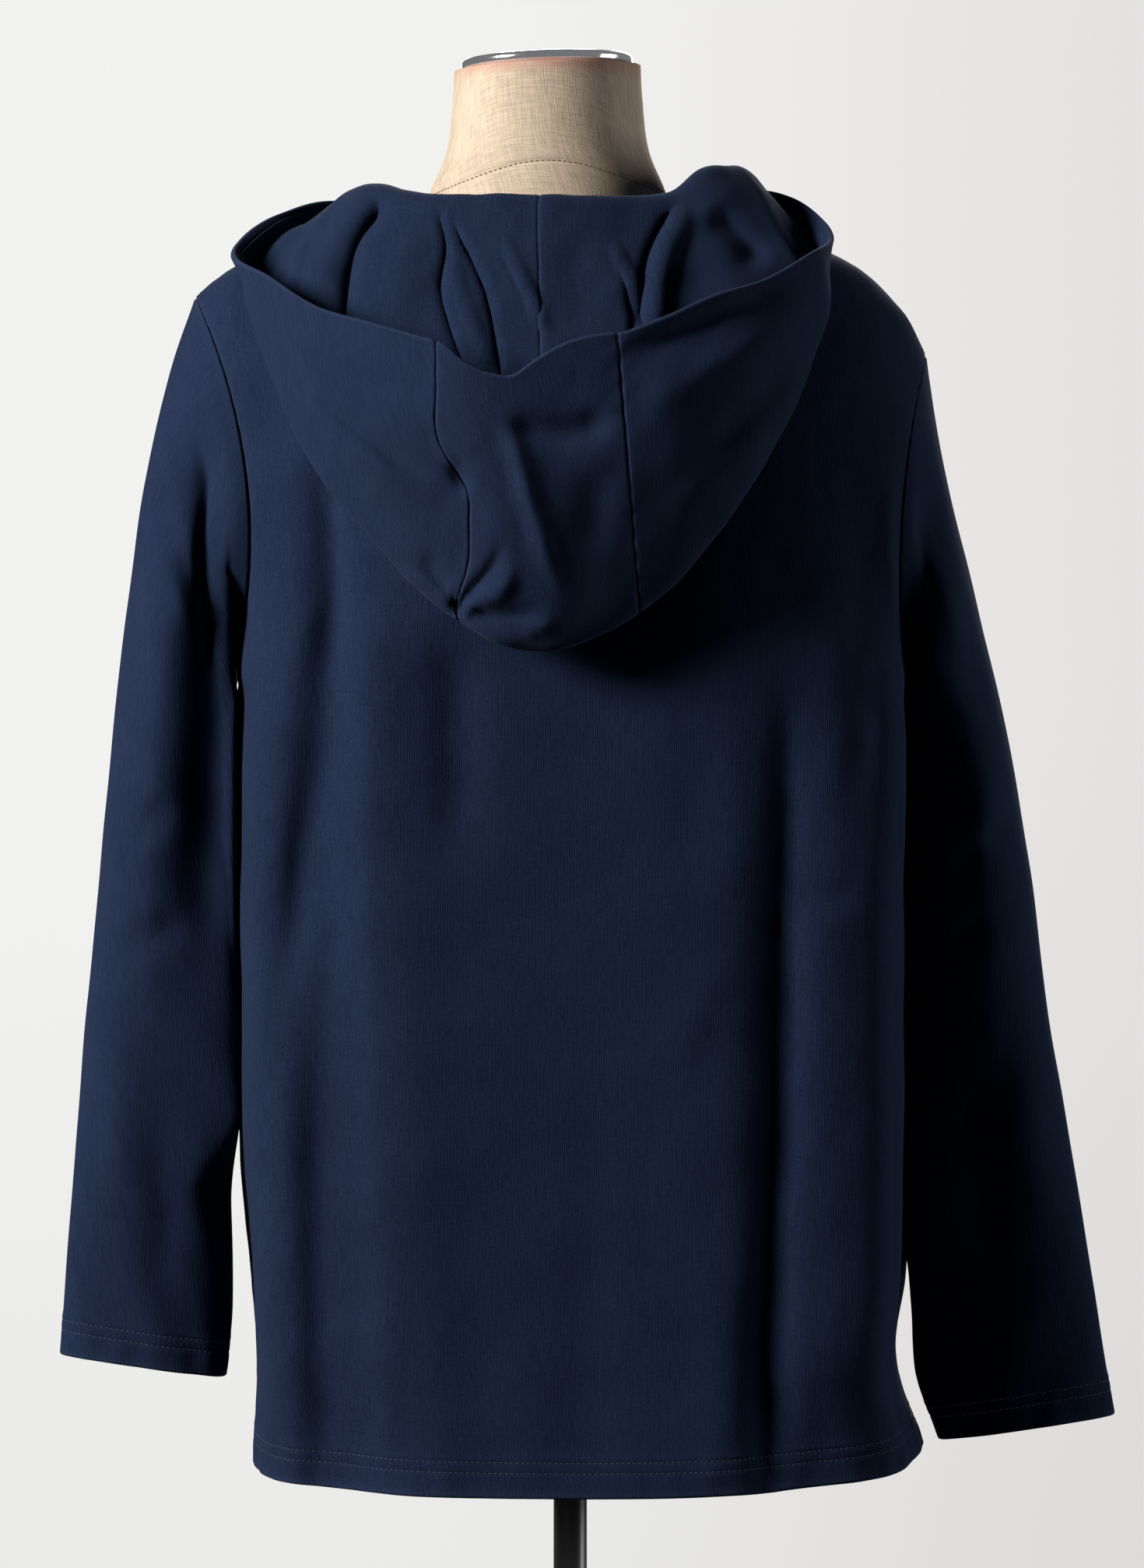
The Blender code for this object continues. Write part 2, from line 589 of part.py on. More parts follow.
def make_hood(collection, navy, lining):
    front = len(HOOD_ROWS) - 1
    right = hood_grid(0, STRIP_FIRST, SIDE_STEPS)
    strip = hood_grid(STRIP_FIRST, STRIP_LAST, STRIP_STEPS)
    left = hood_grid(STRIP_LAST, front, SIDE_STEPS)
    half = STRIP_STEPS // 2
    lining_right = [line + middle[1:half + 1] for line, middle in zip(right, strip)]
    lining_left = [middle[half:] + line[1:] for line, middle in zip(left, strip)]
    outside = (
        ("hood_right", right, False, True),
        ("hood_centre", strip, True, True),
        ("hood_left", left, True, False),
    )
    inside = (
        ("hood_lining_right", lining_right, False, True),
        ("hood_lining_left", lining_left, True, False),
    )
    for name, grid, first, last in outside:
        grid = [inset_line(list(line), first, last, HOOD_GAP / 2) for line in grid]
        sheet_object(name, grid, CLOTH, navy, collection, outward=-1)
    for name, grid, first, last in inside:
        grid = [inset_line(list(line), first, last, LINING_GAP / 2) for line in grid]
        piece = sheet_object(name, grid, LINING, lining, collection, outward=-1)
        piece.modifiers["wall"].offset = -1 - 2 * (CLOTH + HOOD_GAP) / LINING   # under the outer cloth


def main():
    for old in list(bpy.data.objects):
        bpy.data.objects.remove(old, do_unlink=True)
    collection = bpy.data.collections.new("pullover_hoodie")
    bpy.context.scene.collection.children.link(collection)
    navy = make_material("navy_knit", (0.019, 0.032, 0.074), 0.95)
    lining = make_material("navy_lining", (0.018, 0.030, 0.070), 0.95)
    linen = make_material("linen", (0.55, 0.47, 0.36), 0.9)
    chrome = make_material("bright_metal", (0.75, 0.75, 0.76), 0.15, 1.0)
    steel = make_material("dark_steel", (0.055, 0.055, 0.06), 0.35, 1.0)
    make_form(collection, linen, chrome, steel)
    make_body(collection, navy)
    make_sleeves(collection, navy)
    make_hood(collection, navy, lining)


main()
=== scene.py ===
import math

import bpy
import numpy as np
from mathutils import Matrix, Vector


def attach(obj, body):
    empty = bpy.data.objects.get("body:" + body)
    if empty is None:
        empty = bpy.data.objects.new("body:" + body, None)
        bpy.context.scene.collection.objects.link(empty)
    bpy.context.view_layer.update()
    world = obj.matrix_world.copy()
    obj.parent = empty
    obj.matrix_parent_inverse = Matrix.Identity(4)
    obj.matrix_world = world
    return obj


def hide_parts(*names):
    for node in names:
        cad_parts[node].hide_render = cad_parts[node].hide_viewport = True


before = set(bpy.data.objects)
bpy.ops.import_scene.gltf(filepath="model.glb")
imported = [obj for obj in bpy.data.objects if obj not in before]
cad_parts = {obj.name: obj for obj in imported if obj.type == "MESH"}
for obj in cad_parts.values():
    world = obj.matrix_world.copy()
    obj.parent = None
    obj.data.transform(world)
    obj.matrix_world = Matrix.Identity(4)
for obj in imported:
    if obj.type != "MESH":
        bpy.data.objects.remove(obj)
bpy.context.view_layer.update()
scene = bpy.context.scene
scene.view_settings.view_transform = "Standard"


# Curves and blends that every piece is drawn with. Lengths are in metres.

def mix(a, b, share):
    return a + (b - a) * share


def smoothLine(keys, values, at):    # one curve through values at rising keys
    keys, values = np.asarray(keys, float), np.asarray(values, float)
    at = np.clip(np.asarray(at, float), keys[0], keys[-1])
    i = np.clip(np.searchsorted(keys, at) - 1, 0, len(keys) - 2)
    low = np.maximum(np.arange(len(keys)) - 1, 0)
    high = np.minimum(np.arange(len(keys)) + 1, len(keys) - 1)
    spread = (keys[high] - keys[low]).reshape((-1,) + (1,) * (values.ndim - 1))
    slope = (values[high] - values[low]) / spread
    span = keys[i + 1] - keys[i]
    t = (at - keys[i]) / span
    whole = at.shape + (1,) * (values.ndim - 1)
    span, t = span.reshape(whole), t.reshape(whole)
    start = values[i] * (2 * t**3 - 3 * t**2 + 1) + slope[i] * span * (t**3 - 2 * t**2 + t)
    end = values[i + 1] * (3 * t**2 - 2 * t**3) + slope[i + 1] * span * (t**3 - t**2)
    return start + end


def fadeUp(share):
    share = np.clip(share, 0, 1)
    return share * share * (3 - 2 * share)


def unit(vectors):
    return vectors / np.maximum(np.linalg.norm(vectors, axis=-1, keepdims=True), 1e-12)


def lengthAlong(points):    # distance from the first row, down every column
    steps = np.linalg.norm(np.diff(points, axis=0), axis=-1)
    return np.concatenate([np.zeros((1,) + steps.shape[1:]), np.cumsum(steps, 0)])


# Cloth grids. Each point holds its place, its place on the flat cloth, and how worn it is.

def clothNormals(points, outward, closed=False):
    across = np.roll(points, -1, 1) - np.roll(points, 1, 1)
    if not closed:
        across[:, 0] = points[:, 1] - points[:, 0]
        across[:, -1] = points[:, -1] - points[:, -2]
    return unit(np.cross(across, np.gradient(points, axis=0))) * outward


def clothGrid(points, middle, closed=False):    # measures the flat cloth out from the column in the middle
    line = np.concatenate([points, points[:, :1]], 1) if closed else points
    across = lengthAlong(line.swapaxes(0, 1)).swapaxes(0, 1)
    across = across - across[:, middle:middle + 1]
    along = lengthAlong(points)
    grid = np.zeros(points.shape[:2] + (6,))
    grid[..., :3] = points
    grid[..., 3] = across[:, :points.shape[1]]
    grid[..., 4] = along
    return grid


def edgeLast(grid, edge):
    if edge.endswith("Column"):
        grid = grid.swapaxes(0, 1)
    return grid[::-1] if edge.startswith("first") else grid


def edgeBack(grid, edge):
    if edge.startswith("first"):
        grid = grid[::-1]
    return grid.swapaxes(0, 1) if edge.endswith("Column") else grid


def refineEdge(grid, edge, distances):    # puts rows at these distances from an edge
    back = edgeLast(grid, edge)[::-1]
    reach = lengthAlong(back[..., :3])
    keep = int(np.argmax(reach.mean(1) > distances[-1] * 1.2))
    start = distances[-1] * 1.2
    rest = start + (reach[keep:] - reach[keep]) * (reach[-1] - start) / (reach[-1] - reach[keep])
    places = np.concatenate([np.array(distances)[:, None] + 0 * rest[:1], rest])
    spaced = np.empty((len(places),) + back.shape[1:])
    for c in range(back.shape[1]):
        for k in range(back.shape[2]):
            spaced[:, c, k] = np.interp(places[:, c], reach[:, c], back[:, c, k])
    return edgeBack(spaced[::-1], edge)


def pullIn(grid, edge, gap):    # leaves room for the neighbour at a seam
    lines = edgeLast(grid, edge).copy()
    lines[-1, :, :3] += unit(lines[-2, :, :3] - lines[-1, :, :3]) * gap
    return edgeBack(lines, edge)


seamRows = [0, 0.0003, 0.0007, 0.0012, 0.0018, 0.0026, 0.0038, 0.0055, 0.0080]
seam = {"depth": 0.0009, "width": 0.0018, "pucker": 0.00035, "puckerReach": 0.006}


def rollSeam(grid, edge, outward, depth=1.0, closed=False):    # rounds an edge down into its seam
    grid = refineEdge(grid, edge, seamRows)
    normals = edgeLast(clothNormals(grid[..., :3], outward, closed), edge)
    lines = edgeLast(grid, edge).copy()
    reach = lengthAlong(lines[::-1, :, :3])[::-1]
    drop = seam["depth"] * depth * np.maximum(1 - reach / seam["width"], 0) ** 2
    along = lines[..., 3] if edge.endswith("Row") else lines[..., 4]
    pucker = seam["pucker"] * np.sin(along * 2 * math.pi / 0.013) * np.sin(along * 31 + 1.3)
    lines[..., :3] -= normals * (drop + pucker * np.exp(-reach / seam["puckerReach"]))[..., None]
    lines[..., 5] = np.maximum(lines[..., 5], np.exp(-reach / 0.0025))
    return edgeBack(lines, edge)


hem = {
    "fold": 0.0015,                  # radius of the turned edge
    "inside": 0.0235,                # depth of the turned-in layer
    "needles": (0.0125, 0.0185),     # the twin-needle rows, from the edge
    "groove": 0.00032,
    "step": 0.0004,                  # how far the doubled part stands proud
}
hemRows = [0, 0.0006, 0.0014, 0.003, 0.005, 0.0075, 0.0095, 0.0108, 0.0116, 0.0121, 0.0125,
           0.0129, 0.0134, 0.0142, 0.0155, 0.0168, 0.0176, 0.0181, 0.0185, 0.0189, 0.0194,
           0.0202, 0.0215, 0.023, 0.025, 0.028, 0.0315]


def turnHem(grid, edge, outward, closed=False):    # doubles the edge inwards, as a sewn hem
    grid = refineEdge(grid, edge, hemRows)
    normals = edgeLast(clothNormals(grid[..., :3], outward, closed), edge)
    lines = edgeLast(grid, edge).copy()
    reach = lengthAlong(lines[::-1, :, :3])[::-1]
    rise = hem["step"] * (1 - fadeUp((reach - 0.0195) / 0.005))
    for needle in hem["needles"]:
        rise = rise - hem["groove"] * np.exp(-((reach - needle) / 0.0008) ** 2)
    wobble = 0.0005 * np.sin(lines[..., 3] * 2 * math.pi / 0.021) * np.sin(lines[..., 3] * 47 + 0.6)
    rise = rise + wobble * np.exp(-((reach - 0.006) / 0.008) ** 2)
    lines[..., :3] += normals * rise[..., None]
    lines[..., 5] = np.maximum(lines[..., 5], np.exp(-reach / 0.002))
    needleRows = []
    for needle in hem["needles"]:
        i = int(np.argmin(abs(reach.mean(1) - needle)))
        needleRows.append((lines[i, :, :3].copy(), normals[i].copy()))
    last, before, normal = lines[-1], lines[-3], normals[-1]
    outOfEdge = unit(last[:, :3] - before[:, :3])
    added = []
    for turn in np.linspace(0, math.pi, 8)[1:]:
        row = last.copy()
        row[:, :3] += hem["fold"] * (normal * (math.cos(turn) - 1) + outOfEdge * math.sin(turn))
        added.append(row)
    inner = [i for i in range(len(lines) - 2, 0, -1) if reach[i].mean() <= hem["inside"]]
    for i in inner[1::2]:
        row = lines[i].copy()
        row[:, :3] -= normals[i] * 2 * hem["fold"]
        added.append(row)
    return edgeBack(np.concatenate([lines, np.array(added)]), edge), needleRows


def softNoise(u, v, size, seed):    # slow, even undulation of limp cloth
    rng = np.random.default_rng(seed)
    total = np.zeros_like(u)
    for _ in range(7):
        turn, phase = rng.uniform(0, 2 * math.pi, 2)
        wave = 2 * math.pi / (size * rng.uniform(0.6, 1.7))
        total += np.sin((u * math.cos(turn) + v * math.sin(turn)) * wave + phase)
    return total / 7


def creaseHeight(x, z, creases):    # sum of soft ridges (+) and troughs (-) along short paths
    total = np.zeros_like(x)
    for crease in creases:
        path, width, height, skew, fadeIn, fadeOut = crease
        path = np.asarray(path, float)
        keys = np.linspace(0, 1, len(path))
        points = smoothLine(keys, path, np.linspace(0, 1, 4 * len(path) + 1))
        lengths = lengthAlong(points[:, None])[:, 0]
        best = np.full(x.shape, 1e9)
        side, share = np.zeros_like(x), np.zeros_like(x)
        for a, b, start in zip(points, points[1:], lengths):
            step = b - a
            size = np.hypot(*step)
            t = np.clip(((x - a[0]) * step[0] + (z - a[1]) * step[1]) / size**2, 0, 1)
            dx, dz = x - a[0] - t * step[0], z - a[1] - t * step[1]
            away = np.hypot(dx, dz)
            nearer = away < best
            best = np.where(nearer, away, best)
            side = np.where(nearer, np.sign(step[0] * dz - step[1] * dx), side)
            share = np.where(nearer, (start + t * size) / lengths[-1], share)
        fade = fadeUp(share / max(fadeIn, 1e-6)) * fadeUp((1 - share) / max(fadeOut, 1e-6))
        ratio = best / width
        total += height * fade * np.exp(-ratio**2) * (1 + skew * side * ratio)
    return total


def makeSheet(name, grid, cloth, outward, closed=False):
    rows, columns = grid.shape[:2]
    index = np.arange(rows * columns).reshape(rows, columns)
    here = index if closed else index[:, :-1]
    after = np.roll(index, -1, 1) if closed else index[:, 1:]
    flat = grid[..., 3:5]
    flatAfter = np.roll(flat, -1, 1) if closed else flat[:, 1:]
    if closed:    # the flat cloth ends where the tube closes
        closing = np.linalg.norm(grid[:, 0, :3] - grid[:, -1, :3], axis=-1)
        flatAfter[:, -1, 0] = flat[:, -1, 0] + closing
        flatAfter[:, -1, 1] = flat[:, -1, 1]
    flatHere = flat if closed else flat[:, :-1]
    corners = [here[:-1], after[:-1], after[1:], here[1:]]
    flats = [flatHere[:-1], flatAfter[:-1], flatAfter[1:], flatHere[1:]]
    if outward < 0:
        corners, flats = corners[::-1], flats[::-1]
    quads = np.stack(corners, -1).reshape(-1, 4)
    mesh = bpy.data.meshes.new(name)
    mesh.from_pydata(grid[..., :3].reshape(-1, 3).tolist(), [], quads.tolist())
    mapped = mesh.uv_layers.new(name="flatCloth")
    mapped.data.foreach_set("uv", np.stack(flats, -2).reshape(-1).astype(np.float32))
    worn = mesh.attributes.new("worn", "FLOAT", "POINT")
    worn.data.foreach_set("value", grid[..., 5].reshape(-1).astype(np.float32))
    mesh.shade_smooth()
    mesh.materials.append(cloth["material"])
    piece = bpy.data.objects.new(name, mesh)
    scene.collection.objects.link(piece)
    wall = piece.modifiers.new("wall", "SOLIDIFY")
    wall.thickness = cloth["thickness"]
    wall.offset = -1
    wall.use_even_offset = False
    return piece


def takePlace(piece, node):    # the finished piece stands where the plain solid was
    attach(piece, "root")
    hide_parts(node)


stitch = {"length": 0.0023, "pitch": 0.0031, "radius": 0.00030, "proud": 0.00004}


def makeStitches(name, lines, material, size=stitch):    # lines holds (points, normals) of each row
    turns = np.linspace(0, 2 * math.pi, 7)[:-1]
    rings = [(-1, 0.25), (-0.8, 0.8), (-0.35, 1), (0.35, 1), (0.8, 0.8), (1, 0.25)]
    shape = np.array([[along, out * math.cos(t), out * math.sin(t)] for along, out in rings for t in turns])
    sides = len(turns)
    faces = []
    for r in range(len(rings) - 1):
        for k in range(sides):
            n = (k + 1) % sides
            faces.append([r * sides + k, r * sides + n, (r + 1) * sides + n, (r + 1) * sides + k])
    ends = [list(range(sides))[::-1], list(range((len(rings) - 1) * sides, len(rings) * sides))]
    verts, quads, caps = [], [], []
    for points, normals in lines:
        reach = lengthAlong(points[:, None])[:, 0]
        for start in np.arange(size["pitch"], reach[-1] - size["pitch"], size["pitch"]):
            ahead = np.array([np.interp(start + size["length"] / 2, reach, points[:, k]) for k in range(3)])
            behind = np.array([np.interp(start - size["length"] / 2, reach, points[:, k]) for k in range(3)])
            up = unit(np.array([np.interp(start, reach, normals[:, k]) for k in range(3)]))
            along = unit(ahead - behind)
            side = unit(np.cross(up, along))
            centre = (ahead + behind) / 2 + up * size["proud"]
            base = len(verts) * len(shape)
            verts.append(centre + shape[:, :1] * along * size["length"] / 2
                         + shape[:, 1:2] * side * size["radius"] + shape[:, 2:] * up * size["radius"])
            quads += [[base + v for v in face] for face in faces]
            caps += [[base + v for v in face] for face in ends]
    mesh = bpy.data.meshes.new(name)
    mesh.from_pydata(np.concatenate(verts).tolist(), [], quads + caps)
    mesh.shade_smooth()
    mesh.materials.append(material)
    piece = bpy.data.objects.new(name, mesh)
    scene.collection.objects.link(piece)
    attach(piece, "root")
    return piece


# Finishes

def addNode(tree, kind, values=None, **settings):
    node = tree.nodes.new(kind)
    for key, value in settings.items():
        setattr(node, key, value)
    for key, value in (values or {}).items():
        node.inputs[key].default_value = value
    return node


def newFinish(name, colour, roughness, metallic=0.0, specular=0.5):
    material = bpy.data.materials.new(name)
    material.use_nodes = True
    shader = material.node_tree.nodes["Principled BSDF"]
    shader.inputs["Base Color"].default_value = (*colour, 1)
    shader.inputs["Roughness"].default_value = roughness
    shader.inputs["Metallic"].default_value = metallic
    shader.inputs["Specular IOR Level"].default_value = specular
    return material, material.node_tree, shader


def mixColours(tree, factor, low, high):
    node = addNode(tree, "ShaderNodeMix", data_type="RGBA")
    tree.links.new(factor, node.inputs[0])
    for socket, colour in ((node.inputs[6], low), (node.inputs[7], high)):
        if isinstance(colour, tuple):
            socket.default_value = (*colour, 1)
        else:
            tree.links.new(colour, socket)
    return node.outputs[2]


def addUp(tree, parts, start=0.0):    # weighted sum of values
    total = None
    for socket, weight in parts:
        node = addNode(tree, "ShaderNodeMath", operation="MULTIPLY_ADD")
        tree.links.new(socket, node.inputs[0])
        node.inputs[1].default_value = weight
        node.inputs[2].default_value = start
        if total is not None:
            tree.links.new(total, node.inputs[2])
        total = node.outputs[0]
    return total


knits = {
    "navyKnit": {
        "dark": (0.0034, 0.0062, 0.0175), "light": (0.0096, 0.0166, 0.0400), "worn": (0.016, 0.026, 0.055),
        "walePitch": 0.00125, "coursePitch": 0.00105, "waleDepth": 0.40, "courseDepth": 0.12, "relief": 0.50,
    },
    "navyHoodKnit": {
        "dark": (0.0038, 0.0070, 0.0190), "light": (0.0102, 0.0175, 0.0415), "worn": (0.017, 0.027, 0.057),
        "walePitch": 0.00115, "coursePitch": 0.0011, "waleDepth": 0.3, "courseDepth": 0.25, "relief": 0.42,
    },
    "navyLiningKnit": {
        "dark": (0.0038, 0.0070, 0.0190), "light": (0.0102, 0.0178, 0.0420), "worn": (0.016, 0.026, 0.055),
        "walePitch": 0.0010, "coursePitch": 0.0009, "waleDepth": 0.3, "courseDepth": 0.2, "relief": 0.32,
    },
}


def makeKnit(name):
    kind = knits[name]
    material, tree, shader = newFinish(name, kind["light"], 0.92, specular=0.03)
    shader.inputs["Sheen Weight"].default_value = 0.045
    shader.inputs["Sheen Roughness"].default_value = 0.55
    shader.inputs["Sheen Tint"].default_value = (0.42, 0.52, 0.80, 1)
    flat = addNode(tree, "ShaderNodeUVMap", uv_map="flatCloth").outputs[0]
    wales = addNode(tree, "ShaderNodeTexWave", {
        "Scale": 0.31416 / kind["walePitch"], "Distortion": 3.2, "Detail": 2.0, "Detail Scale": 0.35,
    }, wave_type="BANDS", bands_direction="X")
    courses = addNode(tree, "ShaderNodeTexWave", {
        "Scale": 0.31416 / kind["coursePitch"], "Distortion": 3.4, "Detail": 2.0, "Detail Scale": 0.4,
    }, wave_type="BANDS", bands_direction="Y")
    fuzz = addNode(tree, "ShaderNodeTexNoise", {"Scale": 620, "Detail": 3.0, "Roughness": 0.65})
    streak = addNode(tree, "ShaderNodeTexNoise", {"Scale": 1.0, "Detail": 2.0, "Roughness": 0.55})
    stretch = addNode(tree, "ShaderNodeMapping", {"Scale": (620, 80, 1)})
    cloud = addNode(tree, "ShaderNodeTexNoise", {"Scale": 16, "Detail": 3.0, "Roughness": 0.5})
    for node in (wales, courses, fuzz, cloud, stretch):
        tree.links.new(flat, node.inputs["Vector"])
    tree.links.new(stretch.outputs[0], streak.inputs["Vector"])
    height = addUp(tree, [(wales.outputs["Fac"], kind["waleDepth"]), (courses.outputs["Fac"], kind["courseDepth"]),
                          (fuzz.outputs["Fac"], 0.6), (streak.outputs["Fac"], 0.9)])
    bump = addNode(tree, "ShaderNodeBump", {"Strength": kind["relief"], "Distance": 0.00035})
    tree.links.new(height, bump.inputs["Height"])
    tree.links.new(bump.outputs[0], shader.inputs["Normal"])
    shade = addUp(tree, [(wales.outputs["Fac"], 0.22), (courses.outputs["Fac"], 0.10), (fuzz.outputs["Fac"], 1.45),
                         (streak.outputs["Fac"], 0.95), (cloud.outputs["Fac"], 0.55)], -1.02)
    base = mixColours(tree, shade, kind["dark"], kind["light"])
    worn = addNode(tree, "ShaderNodeAttribute", attribute_name="worn")
    rub = addNode(tree, "ShaderNodeMath", operation="MULTIPLY", use_clamp=True)
    tree.links.new(worn.outputs["Fac"], rub.inputs[0])
    tree.links.new(fuzz.outputs["Fac"], rub.inputs[1])
    tree.links.new(mixColours(tree, rub.outputs[0], base, kind["worn"]), shader.inputs["Base Color"])
    return material


linen = {
    "dark": (0.175, 0.132, 0.094), "light": (0.560, 0.450, 0.335), "rubbed": (0.36, 0.10, 0.075),
    "rubbedFrom": 1.4845, "rubbedTo": 1.4925,
}


def makeLinen():
    material, tree, shader = newFinish("linenCloth", linen["light"], 0.86, specular=0.25)
    shader.inputs["Sheen Weight"].default_value = 0.12
    flat = addNode(tree, "ShaderNodeUVMap", uv_map="flatCloth").outputs[0]
    warp = addNode(tree, "ShaderNodeTexWave", {"Scale": 0.31416 / 0.0009, "Distortion": 2.2, "Detail": 2.0,
                   "Detail Scale": 0.25}, wave_type="BANDS", bands_direction="X")
    weft = addNode(tree, "ShaderNodeTexWave", {"Scale": 0.31416 / 0.0009, "Distortion": 2.2, "Detail": 2.0,
                   "Detail Scale": 0.25}, wave_type="BANDS", bands_direction="Y")
    slubs = addNode(tree, "ShaderNodeTexNoise", {"Scale": 1.0, "Detail": 4.0, "Roughness": 0.65})
    slubPlace = addNode(tree, "ShaderNodeMapping", {"Scale": (900, 55, 1)})
    crossSlubs = addNode(tree, "ShaderNodeTexNoise", {"Scale": 1.0, "Detail": 3.0})
    crossPlace = addNode(tree, "ShaderNodeMapping", {"Scale": (70, 900, 1)})
    cloud = addNode(tree, "ShaderNodeTexNoise", {"Scale": 22, "Detail": 3.0})
    for node in (warp, weft, slubPlace, crossPlace, cloud):
        tree.links.new(flat, node.inputs["Vector"])
    tree.links.new(slubPlace.outputs[0], slubs.inputs["Vector"])
    tree.links.new(crossPlace.outputs[0], crossSlubs.inputs["Vector"])
    shade = addUp(tree, [(slubs.outputs["Fac"], 1.05), (crossSlubs.outputs["Fac"], 0.75), (warp.outputs["Fac"], 0.22),
                         (weft.outputs["Fac"], 0.16), (cloud.outputs["Fac"], 0.5)], -0.72)
    base = mixColours(tree, shade, linen["dark"], linen["light"])
    place = addNode(tree, "ShaderNodeTexCoord")
    parts = addNode(tree, "ShaderNodeSeparateXYZ")
    tree.links.new(place.outputs["Object"], parts.inputs[0])
    top = addNode(tree, "ShaderNodeMapRange", {"From Min": linen["rubbedFrom"], "From Max": linen["rubbedTo"]})
    tree.links.new(parts.outputs["Z"], top.inputs["Value"])
    rub = addNode(tree, "ShaderNodeMath", operation="MULTIPLY", use_clamp=True)
    tree.links.new(top.outputs[0], rub.inputs[0])
    tree.links.new(cloud.outputs["Fac"], rub.inputs[1])
    tree.links.new(mixColours(tree, rub.outputs[0], base, linen["rubbed"]), shader.inputs["Base Color"])
    height = addUp(tree, [(slubs.outputs["Fac"], 0.7), (crossSlubs.outputs["Fac"], 0.35),
                          (warp.outputs["Fac"], 0.3), (weft.outputs["Fac"], 0.3)])
    bump = addNode(tree, "ShaderNodeBump", {"Strength": 0.6, "Distance": 0.0004})
    tree.links.new(height, bump.inputs["Height"])
    tree.links.new(bump.outputs[0], shader.inputs["Normal"])
    return material


def makeMetal(name, colour, low, high, grain, relief):    # low and high are the ends of its roughness
    material, tree, shader = newFinish(name, colour, low, 1.0)
    place = addNode(tree, "ShaderNodeTexCoord")
    stretch = addNode(tree, "ShaderNodeMapping", {"Scale": grain})
    noise = addNode(tree, "ShaderNodeTexNoise", {"Scale": 1.0, "Detail": 3.0})
    spread = addNode(tree, "ShaderNodeMapRange", {"To Min": low, "To Max": high})
    bump = addNode(tree, "ShaderNodeBump", {"Strength": relief, "Distance": 0.0002})
    tree.links.new(place.outputs["Object"], stretch.inputs["Vector"])
    tree.links.new(stretch.outputs[0], noise.inputs["Vector"])
    tree.links.new(noise.outputs["Fac"], spread.inputs["Value"])
    tree.links.new(spread.outputs[0], shader.inputs["Roughness"])
    tree.links.new(noise.outputs["Fac"], bump.inputs["Height"])
    tree.links.new(bump.outputs[0], shader.inputs["Normal"])
    return material


def makeThread(name, colour):
    material, tree, shader = newFinish(name, colour, 0.7, specular=0.3)
    place = addNode(tree, "ShaderNodeTexCoord")
    noise = addNode(tree, "ShaderNodeTexNoise", {"Scale": 900, "Detail": 2.0})
    tree.links.new(place.outputs["Object"], noise.inputs["Vector"])
    dark = tuple(part * 0.6 for part in colour)
    tree.links.new(mixColours(tree, noise.outputs["Fac"], dark, colour), shader.inputs["Base Color"])
    return material


bodyCloth = {"material": makeKnit("navyKnit"), "thickness": 0.0013}
hoodCloth = {"material": makeKnit("navyHoodKnit"), "thickness": 0.0013}
liningCloth = {"material": makeKnit("navyLiningKnit"), "thickness": 0.0010}
navyThread = makeThread("navyThread", (0.015, 0.024, 0.050))
linenThread = makeThread("linenThread", (0.20, 0.145, 0.095))
chrome = makeMetal("polishedChrome", (0.78, 0.78, 0.79), 0.05, 0.16, (300, 300, 40), 0.05)
darkMetal = makeMetal("satinDarkMetal", (0.075, 0.075, 0.078), 0.26, 0.42, (260, 260, 14), 0.10)
linenCloth = makeLinen()
print("finishes made")


# The garment's seams, shared by its panels

neck = {
    "x": 0.013, "y": -0.004, "halfWidth": 0.083, "back": 0.066, "front": 0.088,
    "sideZ": 1.408, "backDrop": 0.014, "frontDrop": 0.068,
}
armholes = {
    "left": {"tip": (0.214, -0.004), "under": (0.189, 0.0, 1.150), "slope": 0.028, "roll": 0.018,
             "back": 0.074, "front": 0.068, "bowBack": 0.020, "bowFront": 0.030},
    "right": {"tip": (-0.203, -0.004), "under": (-0.192, 0.0, 1.126), "slope": 0.030, "roll": 0.049,
              "back": 0.074, "front": 0.068, "bowBack": 0.012, "bowFront": 0.026},
}
gaps = {"seam": 0.0004, "shoulder": 0.0006, "neck": 0.0004, "hood": 0.0003, "armhole": 0.0004,
        "slit": 0.0060, "slitFoot": 0.670, "slitTop": 0.745}


def shoulderHeight(side, share):
    hole = armholes[side]
    return neck["sideZ"] - hole["slope"] * share - hole["roll"] * share**5


def armholePoint(side, turn):    # 0 is the underarm, half a turn the shoulder, a quarter the back
    hole = armholes[side]
    sine = np.sin(turn)
    rise = (1 - np.cos(turn)) / 2
    out = 1 if side == "left" else -1
    reach = np.where(sine > 0, hole["back"], hole["front"])
    bow = np.where(sine > 0, hole["bowBack"], hole["bowFront"])
    x = mix(hole["under"][0], hole["tip"][0], rise) - out * bow * sine * sine
    y = mix(hole["under"][1], hole["tip"][1], rise) + reach * sine
    z = mix(hole["under"][2], shoulderHeight(side, 1), rise)
    return np.stack([x, y, z], -1)


# Front and back panels

